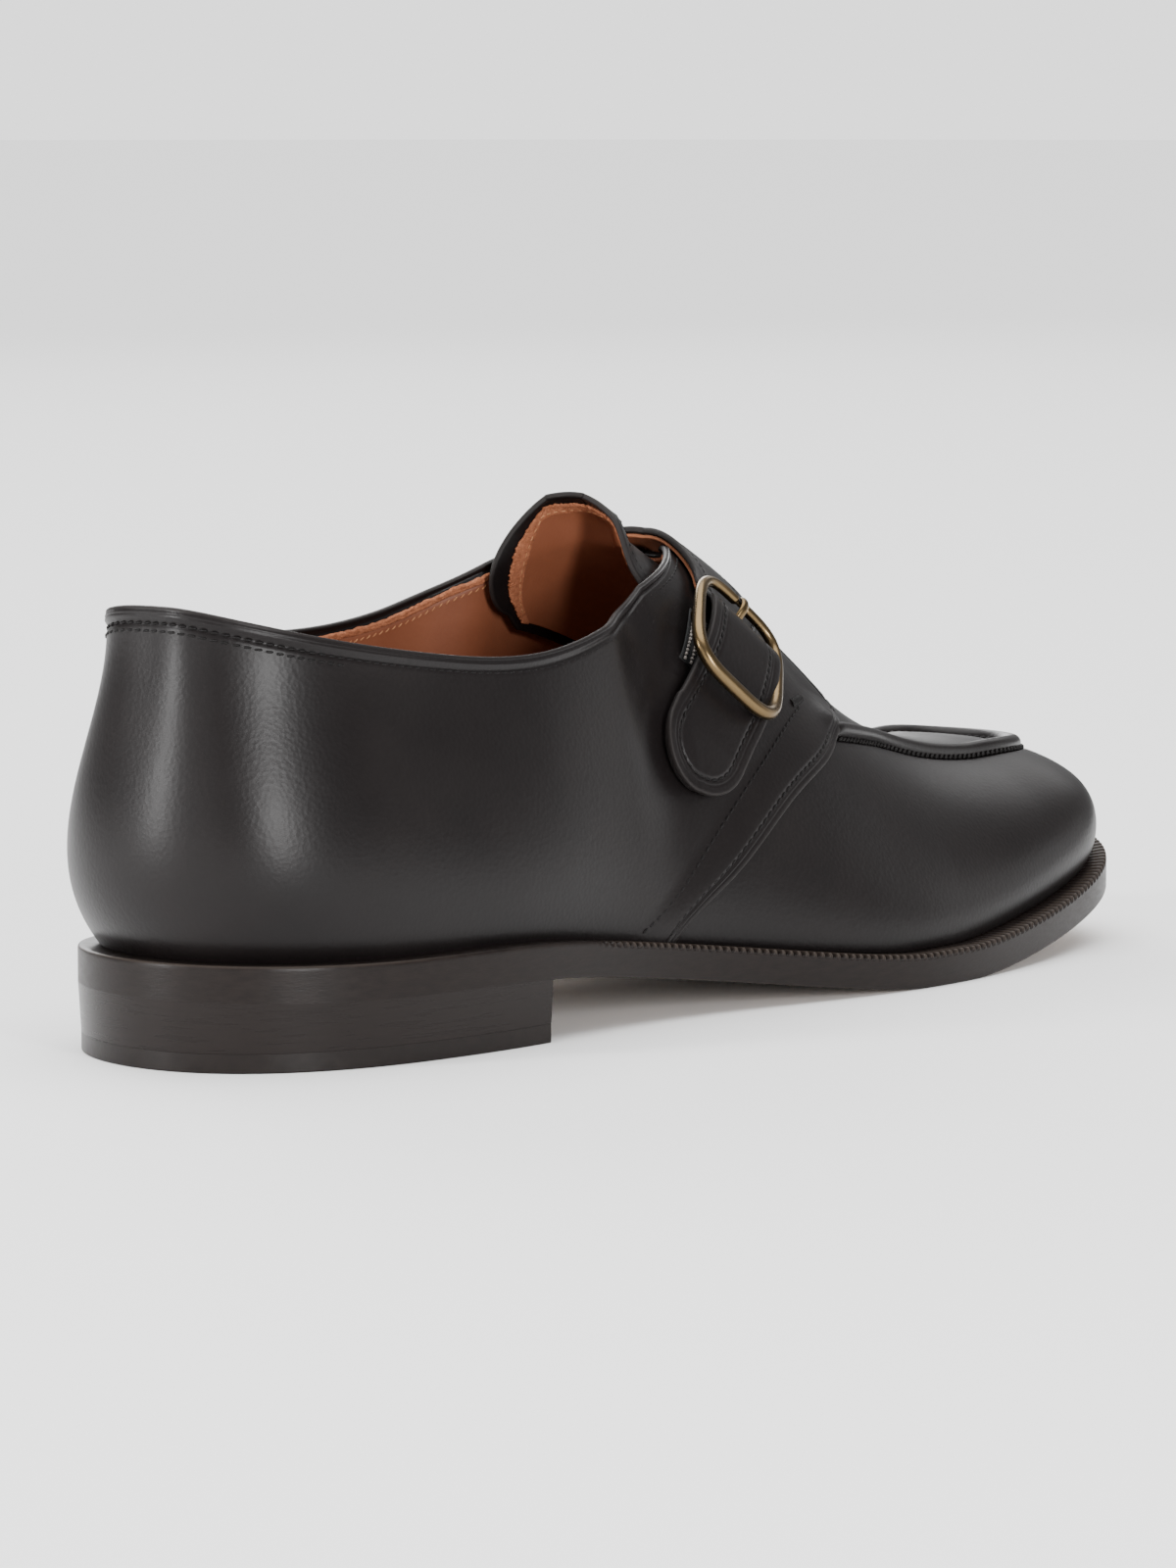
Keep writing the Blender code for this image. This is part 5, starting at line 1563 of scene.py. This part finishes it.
def make_floor(rings=24, sides=96):
    """A large flat disc: rings of points at radius times cosine and sine of an angle."""
    radius, angle = np.linspace(0.0, FLOOR_RADIUS, rings), np.linspace(0, TAU, sides, endpoint=False)
    flat = radius[:, None, None] * np.stack([np.cos(angle), np.sin(angle), 0 * angle], -1)
    mesh = bpy.data.meshes.new("floor")
    mesh.from_pydata(flat.reshape(-1, 3).tolist(), [],
                     quads(np.arange(rings * sides).reshape(rings, sides), closed=True).tolist())
    tone = (FLOOR_TONE, FLOOR_TONE, FLOOR_TONE, 1)
    mesh.materials.append(plain_material("pale_floor", Base_Color=tone, Roughness=0.9,
                                         Specular_IOR_Level=0.0)[0])
    place_object("floor", mesh)


make_floor()
print("the floor is", 2 * FLOOR_RADIUS, "m wide")

# %% Lights
SUN = 4.4               # overhead, very soft
SUN_ANGLE = 70.0        # degrees; the sun's width in the sky, which softens its shadow
AMBIENT = 0.35          # light from all round
PANEL_SHARE = 1.13      # what the panels add to the floor


def aim(thing, place, target):
    """Put a thing at a place and turn its view, along its own -z, to the target."""
    thing.location = Vector(place)
    thing.rotation_euler = (Vector(target) - Vector(place)).to_track_quat("-Z", "Y").to_euler()


def add_light(name, kind, energy, place):
    """A light at a place, turned to the middle of the shoe."""
    data = bpy.data.lights.new(name, kind)
    data.energy = energy
    aim(place_object(name, data), place, (0, 0, 0.05))
    return data


def panel(name, turn, height, size, energy, distance=1.6, spread=180):
    """A soft box that faces the shoe; turn is its direction in degrees from the toe, to the left, and
    spread the angle in degrees of the cone that it lights."""
    angle = math.radians(turn)
    data = add_light(name, "AREA", energy,
                     (distance * math.cos(angle), distance * math.sin(angle), height))
    data.shape = "RECTANGLE"
    data.size, data.size_y = size
    data.spread = math.radians(spread)


def make_world():
    """Even light from all round. The backdrop that the camera sees has the floor's own brightness,
    so that the floor runs into it without a horizon."""
    world = bpy.data.worlds.new("studio")
    world.use_nodes = True
    tree = world.node_tree
    seen = FLOOR_TONE * (SUN / math.pi + AMBIENT) * PANEL_SHARE
    ray = node(tree, "ShaderNodeLightPath")
    mix = node(tree, "ShaderNodeMapRange", {"Value": ray.outputs["Is Camera Ray"]})
    mix.inputs["To Min"].default_value, mix.inputs["To Max"].default_value = AMBIENT, seen
    tree.links.new(mix.outputs[0], tree.nodes["Background"].inputs["Strength"])
    tree.nodes["Background"].inputs["Color"].default_value = (1, 1, 1, 1)
    bpy.context.scene.world = world


add_light("overhead", "SUN", SUN, (0.1, 0.1, 3.0)).angle = math.radians(SUN_ANGLE)
panel("heel_strip", 157, 0.45, (0.24, 1.0), 26)
panel("side_strip", -112, 0.38, (0.26, 0.66), 24)
panel("heel_fill", -172, 0.45, (1.2, 0.9), 5)
panel("toe_panel", 16, 0.95, (0.6, 0.5), 0.26, spread=70)
panel("toe_strip", -24, 0.3, (0.8, 0.4), 1.3)
panel("far_panel", 60, 1.4, (3.0, 1.7), 22, distance=3.0, spread=70)
make_world()
print(len(bpy.data.lights), "lights")

# %% Camera
VIEW_TURN = math.radians(50.0)      # 0 looks square at the outer side, 90 degrees from the heel
VIEW_TILT = math.radians(6.3)       # down from level
VIEW_DISTANCE = 1500.0
VIEW_TARGET = (150.0, 0.0, 50.0)
LENS = 158.6
SHIFT = (-0.0181, -0.0156)


def make_camera():
    """The direction ahead is the turn's sine and cosine in plan, lowered by the tilt."""
    level = math.cos(VIEW_TILT)
    ahead = np.array([math.sin(VIEW_TURN) * level, math.cos(VIEW_TURN) * level, -math.sin(VIEW_TILT)])
    target = (np.array(VIEW_TARGET) - ORIGIN) * MM
    data = bpy.data.cameras.new("camera")
    data.lens = LENS
    data.shift_x, data.shift_y = SHIFT
    camera = place_object("camera", data)
    aim(camera, target - VIEW_DISTANCE * MM * ahead, target)
    bpy.context.scene.camera = camera


make_camera()
print("the camera is", VIEW_DISTANCE * MM, "m away")
